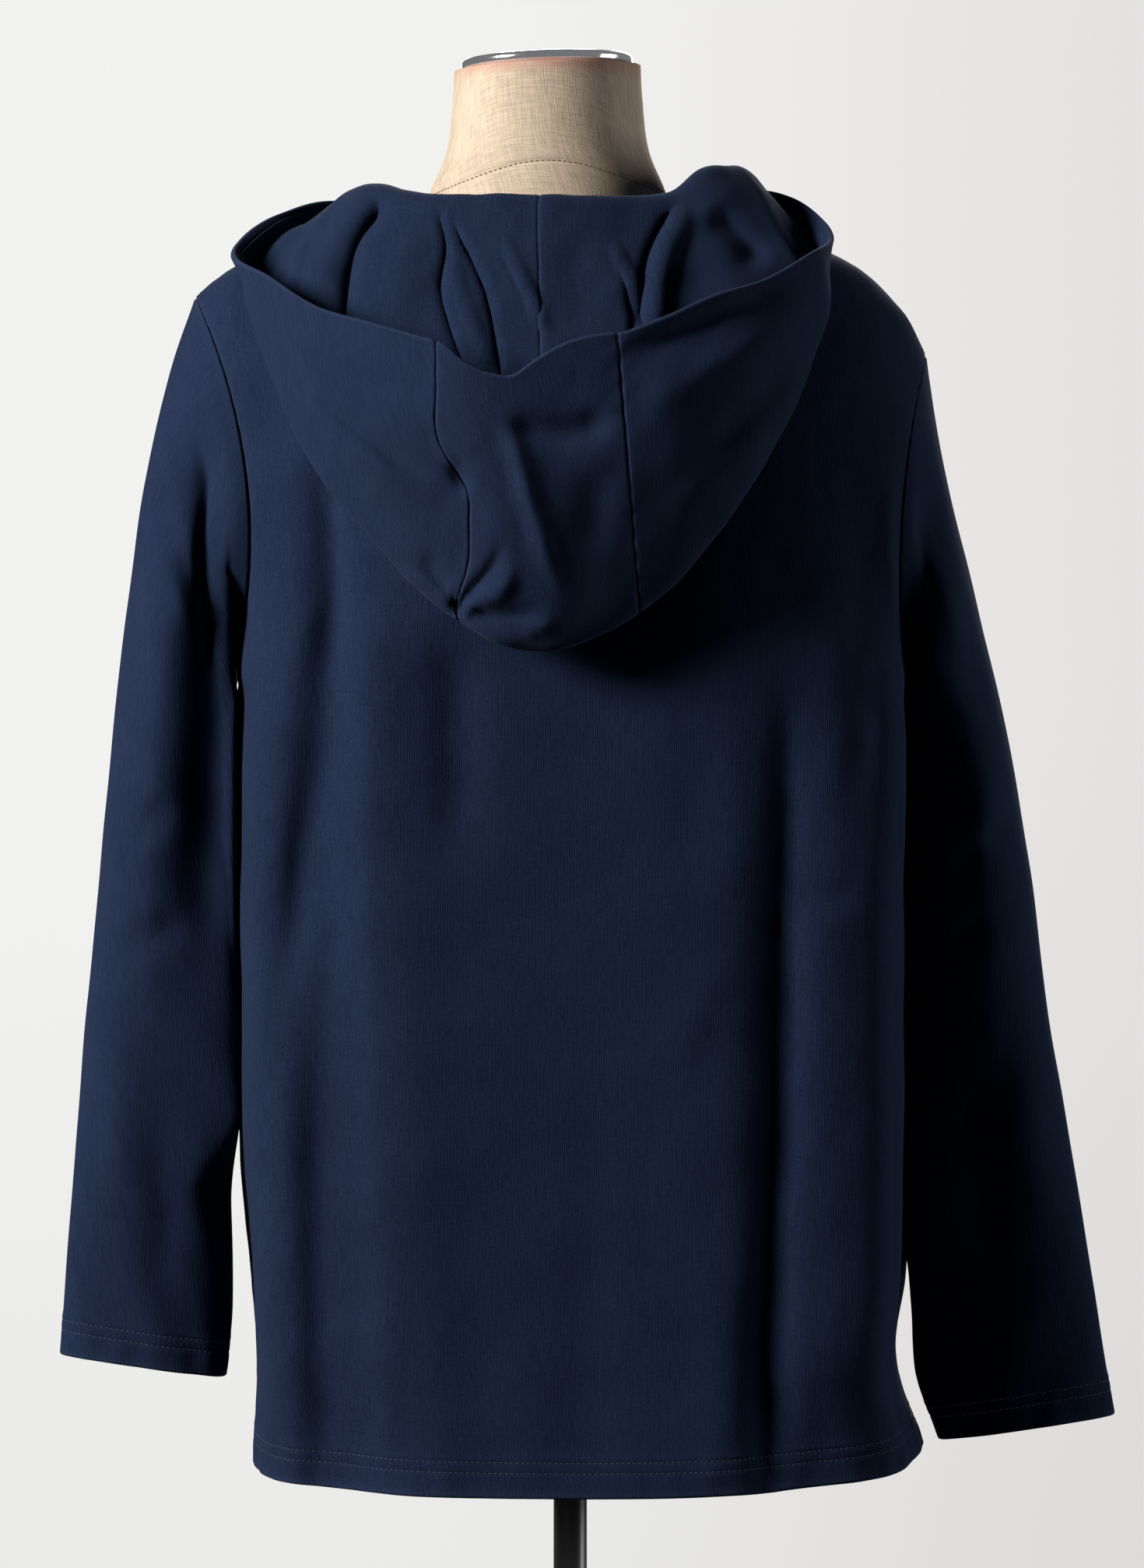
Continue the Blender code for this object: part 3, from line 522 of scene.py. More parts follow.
panels = {
    "sections": {    # hem to underarm
        "mid": [0.6895, 0.748, 0.81, 0.89, 0.99, 1.08, 1.145],
        "leftZ": [0.701, 0.754, 0.811, 0.89, 0.99, 1.082, 1.15],
        "rightZ": [0.712, 0.757, 0.811, 0.89, 0.988, 1.072, 1.126],
        "left": [0.18, 0.179, 0.182, 0.188, 0.19, 0.19, 0.189],
        "right": [-0.2, -0.186, -0.19, -0.192, -0.192, -0.193, -0.192],
        "back": [0.116, 0.113, 0.113, 0.116, 0.12, 0.124, 0.128],
        "front": [-0.119, -0.116, -0.116, -0.118, -0.121, -0.127, -0.132],
    },
    "yoke": {    # underarm to neck, on the centre line
        "at": [0.0, 0.2, 0.35, 0.5, 0.65, 0.82, 1.0],
        "centre": [-0.0015, -0.001, 0.0005, 0.003, 0.0065, 0.0105, 0.013],
        "back": [0.128, 0.129, 0.127, 0.122, 0.112, 0.09, 0.062],
        "front": [-0.132, -0.134, -0.135, -0.133, -0.126, -0.11, -0.092],
    },
    "ovalWidth": 0.92, "ovalDepth": 0.72, "squarerLeft": 0.30, "squarerRight": 0.40, "level": 0.4,
    "lowerRows": 94, "upperRows": 64, "neckSteps": 30, "shoulderSteps": 42,
}

# Large folds: side seam to side seam is -1 to 1. Low and high place, low and high height, width, depth.
largeFolds = {
    "back": [
        (-0.42, -0.41, 0.66, 1.19, 0.28, -0.006),
        (0.5, 0.5, 0.66, 1.22, 0.28, -0.006),
        (-0.66, -0.64, 0.7, 1.26, 0.36, 0.006),
        (0.74, 0.7, 0.72, 1.2, 0.3, 0.003),
        (0.3, 0.33, 0.8, 1.24, 0.26, 0.003),
    ],
    "front": [
        (0.5, 0.38, 0.66, 1.1, 0.4, -0.009),
        (-0.46, -0.36, 0.66, 1.06, 0.4, -0.008),
        (0.74, 0.7, 0.7, 1.2, 0.4, 0.006),
        (-0.74, -0.72, 0.7, 1.2, 0.4, 0.006),
    ],
}

# Creases: path as (x, z), width, height, skew to one side, and how gently each end fades.
panelCreases = {
    "back": [
        ([(0.139, 1.262), (0.138, 1.2), (0.137, 1.12), (0.148, 1.05), (0.16, 0.975), (0.166, 0.9)],
         0.014, -0.0092, 0.0, 0.25, 0.35),
        ([(0.142, 1.3), (0.138, 1.25), (0.136, 1.19), (0.138, 1.11)], 0.0085, -0.0065, 0.0, 0.35, 0.35),
        ([(0.112, 1.22), (0.11, 1.14), (0.114, 1.06), (0.118, 0.98)], 0.016, 0.0025, 0.0, 0.3, 0.35),
        ([(0.064, 1.185), (0.062, 1.12), (0.061, 1.03)], 0.013, -0.0042, 0.0, 0.3, 0.4),
        ([(0.13, 1.06), (0.132, 1.0), (0.137, 0.94), (0.139, 0.829), (0.137, 0.66)],
         0.01, -0.0026, 0.4, 0.15, 0.02),
        ([(0.152, 0.96), (0.158, 0.86), (0.156, 0.76), (0.15, 0.68)], 0.014, 0.0035, 0.0, 0.3, 0.1),
        ([(-0.119, 1.175), (-0.118, 1.044), (-0.116, 0.911), (-0.111, 0.807), (-0.105, 0.66)],
         0.01, -0.004, -0.5, 0.22, 0.02),
        ([(-0.138, 1.13), (-0.137, 1.0), (-0.134, 0.86), (-0.127, 0.69)], 0.014, 0.0025, 0.0, 0.3, 0.1),
        ([(-0.16, 1.215), (-0.162, 1.13), (-0.163, 1.05)], 0.01, -0.0035, 0.0, 0.35, 0.35),
        ([(-0.172, 1.3), (-0.18, 1.225), (-0.184, 1.145), (-0.182, 0.998)], 0.011, 0.0035, 0.0, 0.3, 0.35),
        ([(0.176, 1.33), (0.166, 1.29), (0.152, 1.262)], 0.013, -0.0035, 0.0, 0.3, 0.4),
        ([(-0.087, 0.993), (-0.07, 0.955), (-0.057, 0.92)], 0.01, 0.0014, 0.5, 0.35, 0.35),
        ([(0.13, 1.048), (0.134, 1.037), (0.139, 1.024)], 0.0042, -0.002, 0.9, 0.35, 0.35),
        ([(-0.11, 1.013), (-0.114, 1.006), (-0.119, 1.0)], 0.004, -0.002, -0.9, 0.35, 0.35),
        ([(-0.122, 1.019), (-0.14, 1.024), (-0.164, 1.022)], 0.007, -0.0022, 0.4, 0.3, 0.4),
        ([(-0.014, 0.96), (-0.017, 0.872), (-0.012, 0.79), (-0.012, 0.69)], 0.012, -0.0018, 0.3, 0.4, 0.1),
        ([(-0.042, 0.925), (-0.041, 0.86), (-0.045, 0.795)], 0.011, -0.0013, 0.0, 0.4, 0.4),
        ([(-0.07, 1.15), (-0.069, 1.08), (-0.066, 1.0)], 0.014, -0.0016, 0.0, 0.4, 0.4),
        ([(0.03, 0.8), (0.024, 0.735), (0.026, 0.69)], 0.015, 0.0014, 0.0, 0.4, 0.1),
        ([(0.085, 0.83), (0.09, 0.75), (0.086, 0.69)], 0.012, -0.0014, 0.0, 0.4, 0.1),
        ([(-0.078, 0.83), (-0.084, 0.76), (-0.082, 0.69)], 0.014, 0.0022, 0.0, 0.4, 0.1),
    ],
    "front": [
        ([(0.105, 1.12), (0.11, 1.0), (0.116, 0.86), (0.112, 0.66)], 0.012, -0.005, -0.7, 0.25, 0.02),
        ([(-0.092, 1.09), (-0.1, 0.98), (-0.104, 0.84), (-0.1, 0.66)], 0.012, -0.0045, 0.7, 0.25, 0.02),
        ([(0.15, 1.25), (0.158, 1.16), (0.165, 1.06), (0.168, 0.96)], 0.012, 0.003, 0.0, 0.3, 0.35),
        ([(-0.15, 1.24), (-0.16, 1.15), (-0.166, 1.05), (-0.166, 0.95)], 0.012, 0.003, 0.0, 0.3, 0.35),
        ([(0.16, 1.33), (0.12, 1.29), (0.07, 1.235)], 0.012, -0.003, 0.4, 0.3, 0.4),
        ([(-0.15, 1.31), (-0.11, 1.27), (-0.06, 1.225)], 0.012, -0.0028, -0.4, 0.3, 0.4),
        ([(0.02, 1.25), (0.015, 1.12), (0.022, 0.98)], 0.02, 0.0018, 0.0, 0.4, 0.4),
        ([(0.06, 1.0), (0.052, 0.93), (0.058, 0.85)], 0.012, -0.0012, 0.0, 0.4, 0.4),
        ([(-0.03, 0.93), (-0.024, 0.85), (-0.03, 0.77)], 0.013, -0.0014, 0.0, 0.4, 0.4),
        ([(0.112, 1.02), (0.135, 1.026), (0.155, 1.02)], 0.008, -0.0018, 0.4, 0.3, 0.4),
        ([(-0.1, 1.0), (-0.106, 0.988), (-0.113, 0.98)], 0.0045, -0.0016, -0.9, 0.35, 0.35),
        ([(0.045, 0.79), (0.04, 0.74), (0.046, 0.69)], 0.015, 0.0018, 0.0, 0.4, 0.2),
    ],
}


def largeFold(folds, share, z):
    total = np.zeros_like(z)
    for lowSide, highSide, low, high, width, depth in folds:
        up = (z - low) / (high - low)
        place = mix(lowSide, highSide, up)
        near = np.minimum(abs(share - place) / (width / 2), 1)
        fade = np.clip((1 - up) * 2.5, 0, 1)
        total += depth * fade * (1 - near * near) ** 2
    return total


def ovalPower(face, left, share):    # the back lies flatter than an oval between its sides
    squarer = np.where(left, panels["squarerLeft"], panels["squarerRight"]) * (1 if face == "back" else 0.3)
    return panels["ovalDepth"] - squarer * share


def lowerPanel(face, shares, rows):
    table = panels["sections"]
    keys = range(len(table["mid"]))
    line = {name: smoothLine(keys, values, rows)[:, None] for name, values in table.items()}
    side, left = abs(shares)[None], shares[None] > 0
    angle = side * math.pi / 2
    endX = np.where(left, line["left"], line["right"])
    endZ = np.where(left, line["leftZ"], line["rightZ"])
    z = mix(line["mid"], endZ, side**2)
    closed = np.minimum(1, (z - gaps["slitFoot"]) / (gaps["slitTop"] - gaps["slitFoot"]))
    gap = mix(gaps["slit"], gaps["seam"], closed) / 2
    sign = 1 if face == "back" else -1
    centre = (line["left"] + line["right"]) / 2
    x = mix(centre, endX, np.sin(angle) ** panels["ovalWidth"])
    power = ovalPower(face, left, fadeUp((z - 0.69) / 0.08))
    y = sign * gap + line[face] * np.maximum(np.cos(angle), 0) ** power
    return np.stack([x, y, z], -1)


def upperPanel(face, shares, rows):
    yoke = panels["yoke"]
    up = rows[:, None]
    turn = math.pi * up * (1 if face == "back" else -1)
    left = shares[None] > 0
    end = np.where(left[..., None], armholePoint("left", turn), armholePoint("right", turn))
    centreX = smoothLine(yoke["at"], yoke["centre"], rows)[:, None]
    centreY = smoothLine(yoke["at"], yoke[face], rows)[:, None]
    side = abs(shares)
    drop = neck["backDrop"] if face == "back" else neck["frontDrop"]
    topZ, neckCurve = np.zeros_like(side), np.zeros_like(side)
    for name, chosen in (("left", shares > 0), ("right", shares <= 0)):
        neckShare = neck["halfWidth"] / abs(armholes[name]["tip"][0] - neck["x"])
        across = np.minimum(side / neckShare, 1)
        inner = neck["sideZ"] - drop * (1 - across**2)
        outer = shoulderHeight(name, np.maximum(side - neckShare, 0) / (1 - neckShare))
        topZ = np.where(chosen, np.where(side < neckShare, inner, outer), topZ)
        neckCurve = np.where(chosen, np.sqrt(1 - across**2), neckCurve)
    side = side[None]
    underZ = np.where(left, armholes["left"]["under"][2], armholes["right"]["under"][2])
    lowZ = mix(panels["sections"]["mid"][-1], underZ, side**2)
    z = mix(lowZ, topZ[None], (1 - np.cos(math.pi * up)) / 2)
    power = ovalPower(face, left, fadeUp(1 - up / 0.55))
    cut = np.arccos(np.minimum(1, abs(end[..., 1] / centreY)) ** (1 / power))
    across = (np.sin(side * cut) / np.sin(cut)) ** panels["ovalWidth"]
    level = np.maximum(0, (up - panels["level"]) / (1 - panels["level"])) ** 2
    x = mix(centreX, end[..., 0], mix(across, side, level))
    bulge = (centreY * np.cos(side * cut) ** power - end[..., 1]) / (centreY - end[..., 1])
    bulge = np.where(up > 0.5, mix(neckCurve[None], bulge, np.sin(math.pi * up)), bulge)
    return np.stack([x, mix(end[..., 1], centreY, bulge), z], -1)


def panelShares():
    lines = []
    for name, sign in (("right", -1), ("left", 1)):
        neckShare = neck["halfWidth"] / abs(armholes[name]["tip"][0] - neck["x"])
        inner = neckShare * np.sin(np.arange(1, panels["neckSteps"] + 1) / panels["neckSteps"] * math.pi / 2)
        outer = mix(neckShare, 1, np.arange(1, panels["shoulderSteps"] + 1) / panels["shoulderSteps"])
        lines.append(sign * np.concatenate([inner, outer]))
    return np.concatenate([lines[0][::-1], [0.0], lines[1]])


body = {"flat": 0.0050, "flatWidth": 0.065, "lean": 0.0035, "leanDepth": 0.018}
pressed = {    # where the hood's weight lies on the shoulders
    "depth": 0.0020, "low": 1.325, "lowFade": 0.018, "high": 1.400, "highFade": 0.012,
    "near": 0.100, "nearFade": 0.020, "far": 0.192, "farFade": 0.010,
}


def sideLean(points):    # the sides lean a little, so that the sleeves rest behind them
    x, y, z = points[..., 0], points[..., 1], points[..., 2]
    lean = body["lean"] * fadeUp((1.150 - z) / 0.022) * fadeUp((z - 0.72) / 0.08)
    return -np.sign(x) * lean * np.tanh(y / body["leanDepth"]) * np.minimum(1, abs(x) / 0.19) ** 8


def panelPoints(face):
    shares = panelShares()
    lowerRows = np.arange(panels["lowerRows"]) / panels["lowerRows"] * (len(panels["sections"]["mid"]) - 1)
    upperRows = np.arange(panels["upperRows"] + 1) / panels["upperRows"]
    points = np.concatenate([lowerPanel(face, shares, lowerRows), upperPanel(face, shares, upperRows)])
    sign = 1 if face == "back" else -1
    points[panels["lowerRows"], [0, -1], 1] += sign * gaps["seam"] / 2
    join = np.exp(-((np.arange(len(points)) - panels["lowerRows"]) / 7.0) ** 2)[1:-1, None, None]
    join = join * (1 - abs(shares) ** 20)[None, :, None]
    for _ in range(70):
        points[1:-1] += join * ((points[:-2] + points[2:]) / 2 - points[1:-1])
    points[..., 1] -= sign * body["flat"] * np.exp(-(points[..., 0] / body["flatWidth"]) ** 2) * (
        fadeUp((1.30 - points[..., 2]) / 0.12) * fadeUp((points[..., 2] - 0.66) / 0.10 + 0.4))
    points[..., 0] += sideLean(points)
    away = unit(np.stack([points[..., 0], points[..., 1] * 1.6, np.zeros(points.shape[:2])], -1))
    fold = largeFold(largeFolds[face], shares[None], points[..., 2]) * (1 - shares[None] ** 8)
    points = points + away * fold[..., None]
    rowsDown = np.arange(len(points))[::-1]
    ridge = (gaps["shoulder"] / 2 * sign * np.exp(-rowsDown / 2.5))[:, None]
    onShoulder = abs(points[-1, :, 0] - neck["x"]) > neck["halfWidth"] - gaps["seam"]
    points[..., 1] += ridge * onShoulder[None]
    return points


def makePanel(face):
    outward = -1 if face == "back" else 1
    points = panelPoints(face)
    middle = panels["neckSteps"] + panels["shoulderSteps"]
    grid = clothGrid(points, middle)
    normals = clothNormals(points, outward)
    facing = fadeUp((normals[..., 1] * -outward) / 0.5)
    seamReach = np.minimum(lengthAlong(points.swapaxes(0, 1)).swapaxes(0, 1),
                           lengthAlong(points[:, ::-1].swapaxes(0, 1)).swapaxes(0, 1)[:, ::-1])
    clear = fadeUp(seamReach / 0.020) * fadeUp(lengthAlong(points[::-1])[::-1] / 0.020)
    height = creaseHeight(points[..., 0], points[..., 2], panelCreases[face]) * facing
    height += 0.0016 * softNoise(grid[..., 3], grid[..., 4], 0.085, 11 if face == "back" else 12)
    height += 0.0004 * softNoise(grid[..., 3] * 1.6, grid[..., 4], 0.020, 13)
    if face == "back":
        up, out = points[..., 2], abs(points[..., 0])
        underHood = fadeUp((up - pressed["low"]) / pressed["lowFade"])
        underHood = underHood * fadeUp((pressed["high"] - up) / pressed["highFade"])
        underHood = underHood * fadeUp((out - pressed["near"]) / pressed["nearFade"])
        underHood = underHood * fadeUp((pressed["far"] - out) / pressed["farFade"])
        height = mix(height, np.minimum(height, 0) - pressed["depth"], underHood)
    grid[..., :3] += normals * (height * clear)[..., None]
    for edge in ("firstColumn", "lastColumn"):
        grid = pullIn(grid, edge, gaps["seam"] / 2)
        grid = rollSeam(grid, edge, outward)
    grid = rollSeam(grid, "lastRow", outward)
    grid, needleRows = turnHem(grid, "firstRow", outward)
    return makeSheet(face, grid, bodyCloth, outward), needleRows


backPiece, backRows = makePanel("back")
frontPiece, frontRows = makePanel("front")
for piece, name in ((backPiece, "back"), (frontPiece, "front")):
    takePlace(piece, name)
print("front and back hung")


# Sleeves

sleeves = {
    "left": {
        "outX": [0.229, 0.242, 0.2525, 0.2615, 0.269, 0.277, 0.284, 0.2885, 0.2905],
        "outZ": [1.318, 1.26, 1.185, 1.105, 1.025, 0.94, 0.855, 0.797, 0.7615],
        "inX": [0.193, 0.1975, 0.1985, 0.1975, 0.1965, 0.1955, 0.1935, 0.1925, 0.1965],
        "inZ": [1.1565, 1.152, 1.125, 1.085, 1.017, 0.935, 0.848, 0.786, 0.7485],
        "depth": [0.076, 0.08, 0.082, 0.079, 0.069, 0.054, 0.04, 0.03, 0.025],
        "middle": [-0.003, -0.004, -0.004, -0.004, -0.004, -0.003, -0.001, 0.001, 0.002],
    },
    "right": {
        "outX": [-0.208, -0.217, -0.234, -0.25, -0.263, -0.2735, -0.289, -0.303, -0.31],
        "outZ": [1.296, 1.25, 1.18, 1.11, 1.035, 0.95, 0.86, 0.772, 0.727],
        "inX": [-0.1965, -0.2, -0.2005, -0.1995, -0.1985, -0.1975, -0.1965, -0.1965, -0.21],
        "inZ": [1.1325, 1.128, 1.105, 1.07, 1.005, 0.925, 0.835, 0.752, 0.7125],
        "depth": [0.075, 0.079, 0.081, 0.079, 0.069, 0.054, 0.04, 0.03, 0.025],
        "middle": [-0.006, -0.01, -0.014, -0.015, -0.013, -0.01, -0.006, -0.002, 0.0],
    },
}
sleeveGrid = {"rows": 154, "sides": 120, "crowding": 1.15, "bow": (0.75, 0.40, 0.15), "squarer": 0.24}
sleeveCreases = {
    "leftBack": [
        ([(0.223, 1.305), (0.212, 1.262), (0.2065, 1.2185), (0.2005, 1.175), (0.2, 1.12),
          (0.205, 1.04), (0.206, 0.94)],
         0.018, -0.0105, -0.3, 0.15, 0.35),
        ([(0.22, 1.29), (0.2115, 1.262), (0.206, 1.2185), (0.2, 1.175), (0.197, 1.148)],
         0.005, -0.0045, -0.4, 0.25, 0.1),
        ([(0.236, 1.262), (0.226, 1.225), (0.21, 1.185)], 0.009, -0.004, 0.6, 0.3, 0.35),
        ([(0.23, 1.225), (0.221, 1.196), (0.206, 1.168)], 0.007, 0.0028, 0.4, 0.3, 0.35),
        ([(0.25, 1.19), (0.242, 1.13), (0.24, 1.06)], 0.013, -0.0025, 0.0, 0.35, 0.4),
        ([(0.222, 1.08), (0.236, 1.06), (0.258, 1.05)], 0.01, -0.0028, 0.5, 0.3, 0.4),
        ([(0.214, 1.01), (0.234, 0.996), (0.262, 0.99)], 0.01, -0.0026, 0.5, 0.3, 0.4),
        ([(0.262, 0.96), (0.255, 0.89), (0.258, 0.83)], 0.011, 0.002, 0.0, 0.4, 0.4),
        ([(0.232, 0.92), (0.228, 0.85), (0.232, 0.78)], 0.011, -0.0022, 0.0, 0.4, 0.4),
    ],
    "leftFront": [
        ([(0.24, 1.25), (0.226, 1.205), (0.208, 1.175)], 0.009, -0.004, 0.5, 0.3, 0.35),
        ([(0.252, 1.13), (0.236, 1.1), (0.214, 1.085)], 0.01, -0.0035, 0.5, 0.3, 0.35),
        ([(0.262, 1.05), (0.242, 1.03), (0.215, 1.022)], 0.01, 0.003, 0.5, 0.3, 0.35),
        ([(0.266, 0.99), (0.245, 0.972), (0.215, 0.966)], 0.01, -0.003, 0.5, 0.3, 0.35),
        ([(0.24, 0.9), (0.238, 0.84), (0.244, 0.78)], 0.011, 0.002, 0.0, 0.4, 0.4),
    ],
    "rightBack": [
        ([(-0.214, 1.262), (-0.206, 1.23), (-0.202, 1.195), (-0.2, 1.15)], 0.013, -0.0065, 0.3, 0.25, 0.2),
        ([(-0.205, 1.225), (-0.214, 1.18), (-0.232, 1.14)], 0.01, 0.0028, 0.0, 0.3, 0.4),
        ([(-0.214, 1.03), (-0.232, 1.046), (-0.256, 1.058)], 0.009, -0.003, -0.5, 0.3, 0.35),
        ([(-0.212, 0.99), (-0.234, 1.004), (-0.26, 1.014)], 0.009, -0.0028, -0.5, 0.3, 0.35),
        ([(-0.23, 1.1), (-0.228, 1.15), (-0.22, 1.2)], 0.012, -0.003, 0.0, 0.35, 0.35),
        ([(-0.25, 0.96), (-0.258, 0.89), (-0.272, 0.82)], 0.012, 0.0022, 0.0, 0.4, 0.4),
        ([(-0.226, 0.93), (-0.232, 0.86), (-0.246, 0.79)], 0.011, -0.0024, 0.0, 0.4, 0.4),
    ],
    "rightFront": [
        ([(-0.216, 1.24), (-0.21, 1.195), (-0.202, 1.16)], 0.009, -0.0035, 0.5, 0.3, 0.35),
        ([(-0.246, 1.11), (-0.228, 1.085), (-0.208, 1.075)], 0.01, -0.0035, -0.5, 0.3, 0.35),
        ([(-0.256, 1.03), (-0.236, 1.01), (-0.212, 1.004)], 0.01, 0.003, -0.5, 0.3, 0.35),
        ([(-0.262, 0.97), (-0.24, 0.95), (-0.214, 0.946)], 0.01, -0.003, -0.5, 0.3, 0.35),
        ([(-0.246, 0.88), (-0.252, 0.82), (-0.264, 0.76)], 0.011, 0.002, 0.0, 0.4, 0.4),
    ],
}


resting = {"left": (0.845, 0.055), "right": (0.775, 0.055), "clear": 0.0013,
           "middle": 0.30, "half": 1.35, "fade": 0.75}


def restOnBody(points, side, turns):    # flattens the inner side of a sleeve along the body
    out = 1 if side == "left" else -1
    table = panels["sections"]
    x, z = points[..., 0] * out, points[..., 2]
    edge = smoothLine(table[side + "Z"], abs(np.array(table[side])), z)
    bodySide = np.stack([edge * out, points[..., 1], z], -1)
    rest = edge + sideLean(bodySide) * out + resting["clear"]
    low, rise = resting[side]
    near = fadeUp((resting["half"] - abs(turns - resting["middle"])) / resting["fade"])[None]
    near = near * fadeUp((z - low) / rise) * fadeUp(lengthAlong(points) / 0.012 - 0.2)
    points = points.copy()
    points[..., 0] -= out * near * np.maximum(x - rest, 0)
    return points


def sleevePoints(side):
    table = sleeves[side]
    turns = np.arange(sleeveGrid["sides"]) / sleeveGrid["sides"] * 2 * math.pi
    sine, rise = np.sin(turns), (1 - np.cos(turns)) / 2
    out = 1 if side == "left" else -1
    hole = armholes[side]
    holeBow = np.where(sine > 0, hole["bowBack"], hole["bowFront"])
    rings = [armholePoint(side, turns)]
    keys = [0.0]
    last = (hole["tip"][0], shoulderHeight(side, 1))
    for i in range(len(table["outX"])):
        bow = holeBow * (sleeveGrid["bow"][i] if i < len(sleeveGrid["bow"]) else 0)
        x = mix(table["inX"][i], table["outX"][i], rise) - out * bow * sine * sine
        power = 1 - sleeveGrid["squarer"] * min(1, i / 3)
        y = table["middle"][i] + table["depth"][i] * np.sign(sine) * abs(sine) ** power
        rings.append(np.stack([x, y, mix(table["inZ"][i], table["outZ"][i], rise)], -1))
        edge = (table["outX"][i], table["outZ"][i])
        keys.append(keys[-1] + math.dist(edge, last))
        last = edge
    places = (np.arange(sleeveGrid["rows"] + 1) / sleeveGrid["rows"]) ** sleeveGrid["crowding"]
    points = smoothLine(keys, np.array(rings), mix(gaps["armhole"], keys[-1], places))
    return restOnBody(points, side, (turns + math.pi) % (2 * math.pi) - math.pi)


def makeSleeve(side):
    outward = 1 if side == "left" else -1
    points = sleevePoints(side)
    grid = clothGrid(points, sleeveGrid["sides"] // 2, True)
    normals = clothNormals(points, outward, True)
    down = lengthAlong(points)
    clear = fadeUp(down / 0.030)
    height = np.zeros(points.shape[:2])
    for face, sign in (("Back", 1), ("Front", -1)):
        facing = fadeUp((normals[..., 1] * sign - 0.05) / 0.45)
        height += creaseHeight(points[..., 0], points[..., 2], sleeveCreases[side + face]) * facing
    ring = np.arange(sleeveGrid["sides"]) / sleeveGrid["sides"] * 2 * math.pi
    outer = fadeUp((abs(normals[..., 1]) + 0.2) / 0.7)
    around = 0.055 * np.cos(ring)[None] + 0 * down
    height += 0.0018 * outer * softNoise(around, down + 0.05 * np.sin(ring)[None], 0.07, 21)
    grid[..., :3] += normals * (height * clear)[..., None]
    grid = rollSeam(grid, "firstRow", outward, closed=True)
    grid, needleRows = turnHem(grid, "lastRow", outward, True)
    return makeSheet("sleeve_" + side, grid, bodyCloth, outward, True), needleRows


cuffRows = []
for side in ("left", "right"):
    sleeve, needleRows = makeSleeve(side)
    cuffRows += [(np.concatenate([points, points[:1]]), np.concatenate([normals, normals[:1]]))
                 for points, normals in needleRows]
    takePlace(sleeve, "sleeve_" + side)
print("sleeves hung")


# Hood: each row is one section from the neck seam over the standing fold, down the bag and up to the rim.

hood = {
    "at": [0, 0.5, 1, 1.5, 2, 2.5, 2.75, 3, 4, 5, 6, 7, 8, 9, 10, 11, 11.25, 11.5, 12, 12.5, 13, 13.5, 14],
    "neck": [-178, -163, -148, -135, -122, -110, -104, -98, -74, -50, -26, 0, 26, 50, 74, 98, 104, 110, 122, 135,
             148, 163, 178],
    "fold": [(0.007, -0.108, 1.354), (-0.02, -0.098, 1.366), (-0.045, -0.084, 1.39), (-0.072, -0.062, 1.413),
             (-0.09, -0.036, 1.427), (-0.095, -0.006, 1.432), (-0.095, 0.008, 1.433), (-0.093, 0.021, 1.432),
             (-0.076, 0.046, 1.426), (-0.054, 0.068, 1.406), (-0.02, 0.08, 1.405), (0.018, 0.084, 1.406),
             (0.056, 0.08, 1.406), (0.09, 0.07, 1.408), (0.112, 0.048, 1.416), (0.124, 0.022, 1.418),
             (0.125, 0.009, 1.417), (0.124, -0.004, 1.416), (0.117, -0.036, 1.41), (0.099, -0.062, 1.4),
             (0.074, -0.081, 1.386), (0.045, -0.097, 1.366), (0.019, -0.108, 1.354)],
    "bag": [(0.004, -0.118, 1.35), (-0.031, -0.102, 1.374), (-0.06, -0.077, 1.404), (-0.096, -0.048, 1.409),
            (-0.124, -0.01, 1.407), (-0.141, 0.036, 1.384), (-0.143, 0.062, 1.364), (-0.143, 0.088, 1.342),
            (-0.114, 0.127, 1.273), (-0.073, 0.143, 1.212), (-0.038, 0.149, 1.179), (0.013, 0.152, 1.158),
            (0.061, 0.149, 1.174), (0.112, 0.138, 1.222), (0.151, 0.118, 1.277), (0.178, 0.08, 1.345),
            (0.181, 0.058, 1.362), (0.18, 0.034, 1.379), (0.157, -0.006, 1.4015), (0.13, -0.042, 1.403),
            (0.091, -0.07, 1.399), (0.056, -0.099, 1.374), (0.022, -0.118, 1.35)],
    "rim": [(0.003, -0.124, 1.344), (-0.041, -0.107, 1.384), (-0.073, -0.078, 1.412), (-0.103, -0.04, 1.424),
            (-0.127, 0.002, 1.4175), (-0.1455, 0.038, 1.3995), (-0.148, 0.064, 1.3885), (-0.136, 0.108, 1.379),
            (-0.099, 0.149, 1.358), (-0.063, 0.172, 1.343), (-0.026, 0.182, 1.331), (0.0415, 0.188, 1.306),
            (0.073, 0.181, 1.322), (0.108, 0.164, 1.338), (0.143, 0.136, 1.348), (0.172, 0.102, 1.367),
            (0.1895, 0.068, 1.3775), (0.188, 0.042, 1.388), (0.169, 0.008, 1.406), (0.14, -0.022, 1.418),
            (0.104, -0.06, 1.414), (0.068, -0.094, 1.39), (0.023, -0.124, 1.344)],
    "stripFirst": 6, "stripLast": 8,
    "stand": 0.010, "standFront": 0.6, "standOut": 0.007,
    "wallPlace": 0.50, "wallBelly": 0.012, "flapPlace": 0.45, "flapBelly": 0.013, "bagDepth": 0.20,
    "sideColumns": 142, "stripColumns": 58, "rows": 138, "crowding": 1.35,
    "liningUnder": 0.0026, "flapStrength": 1.15,
}
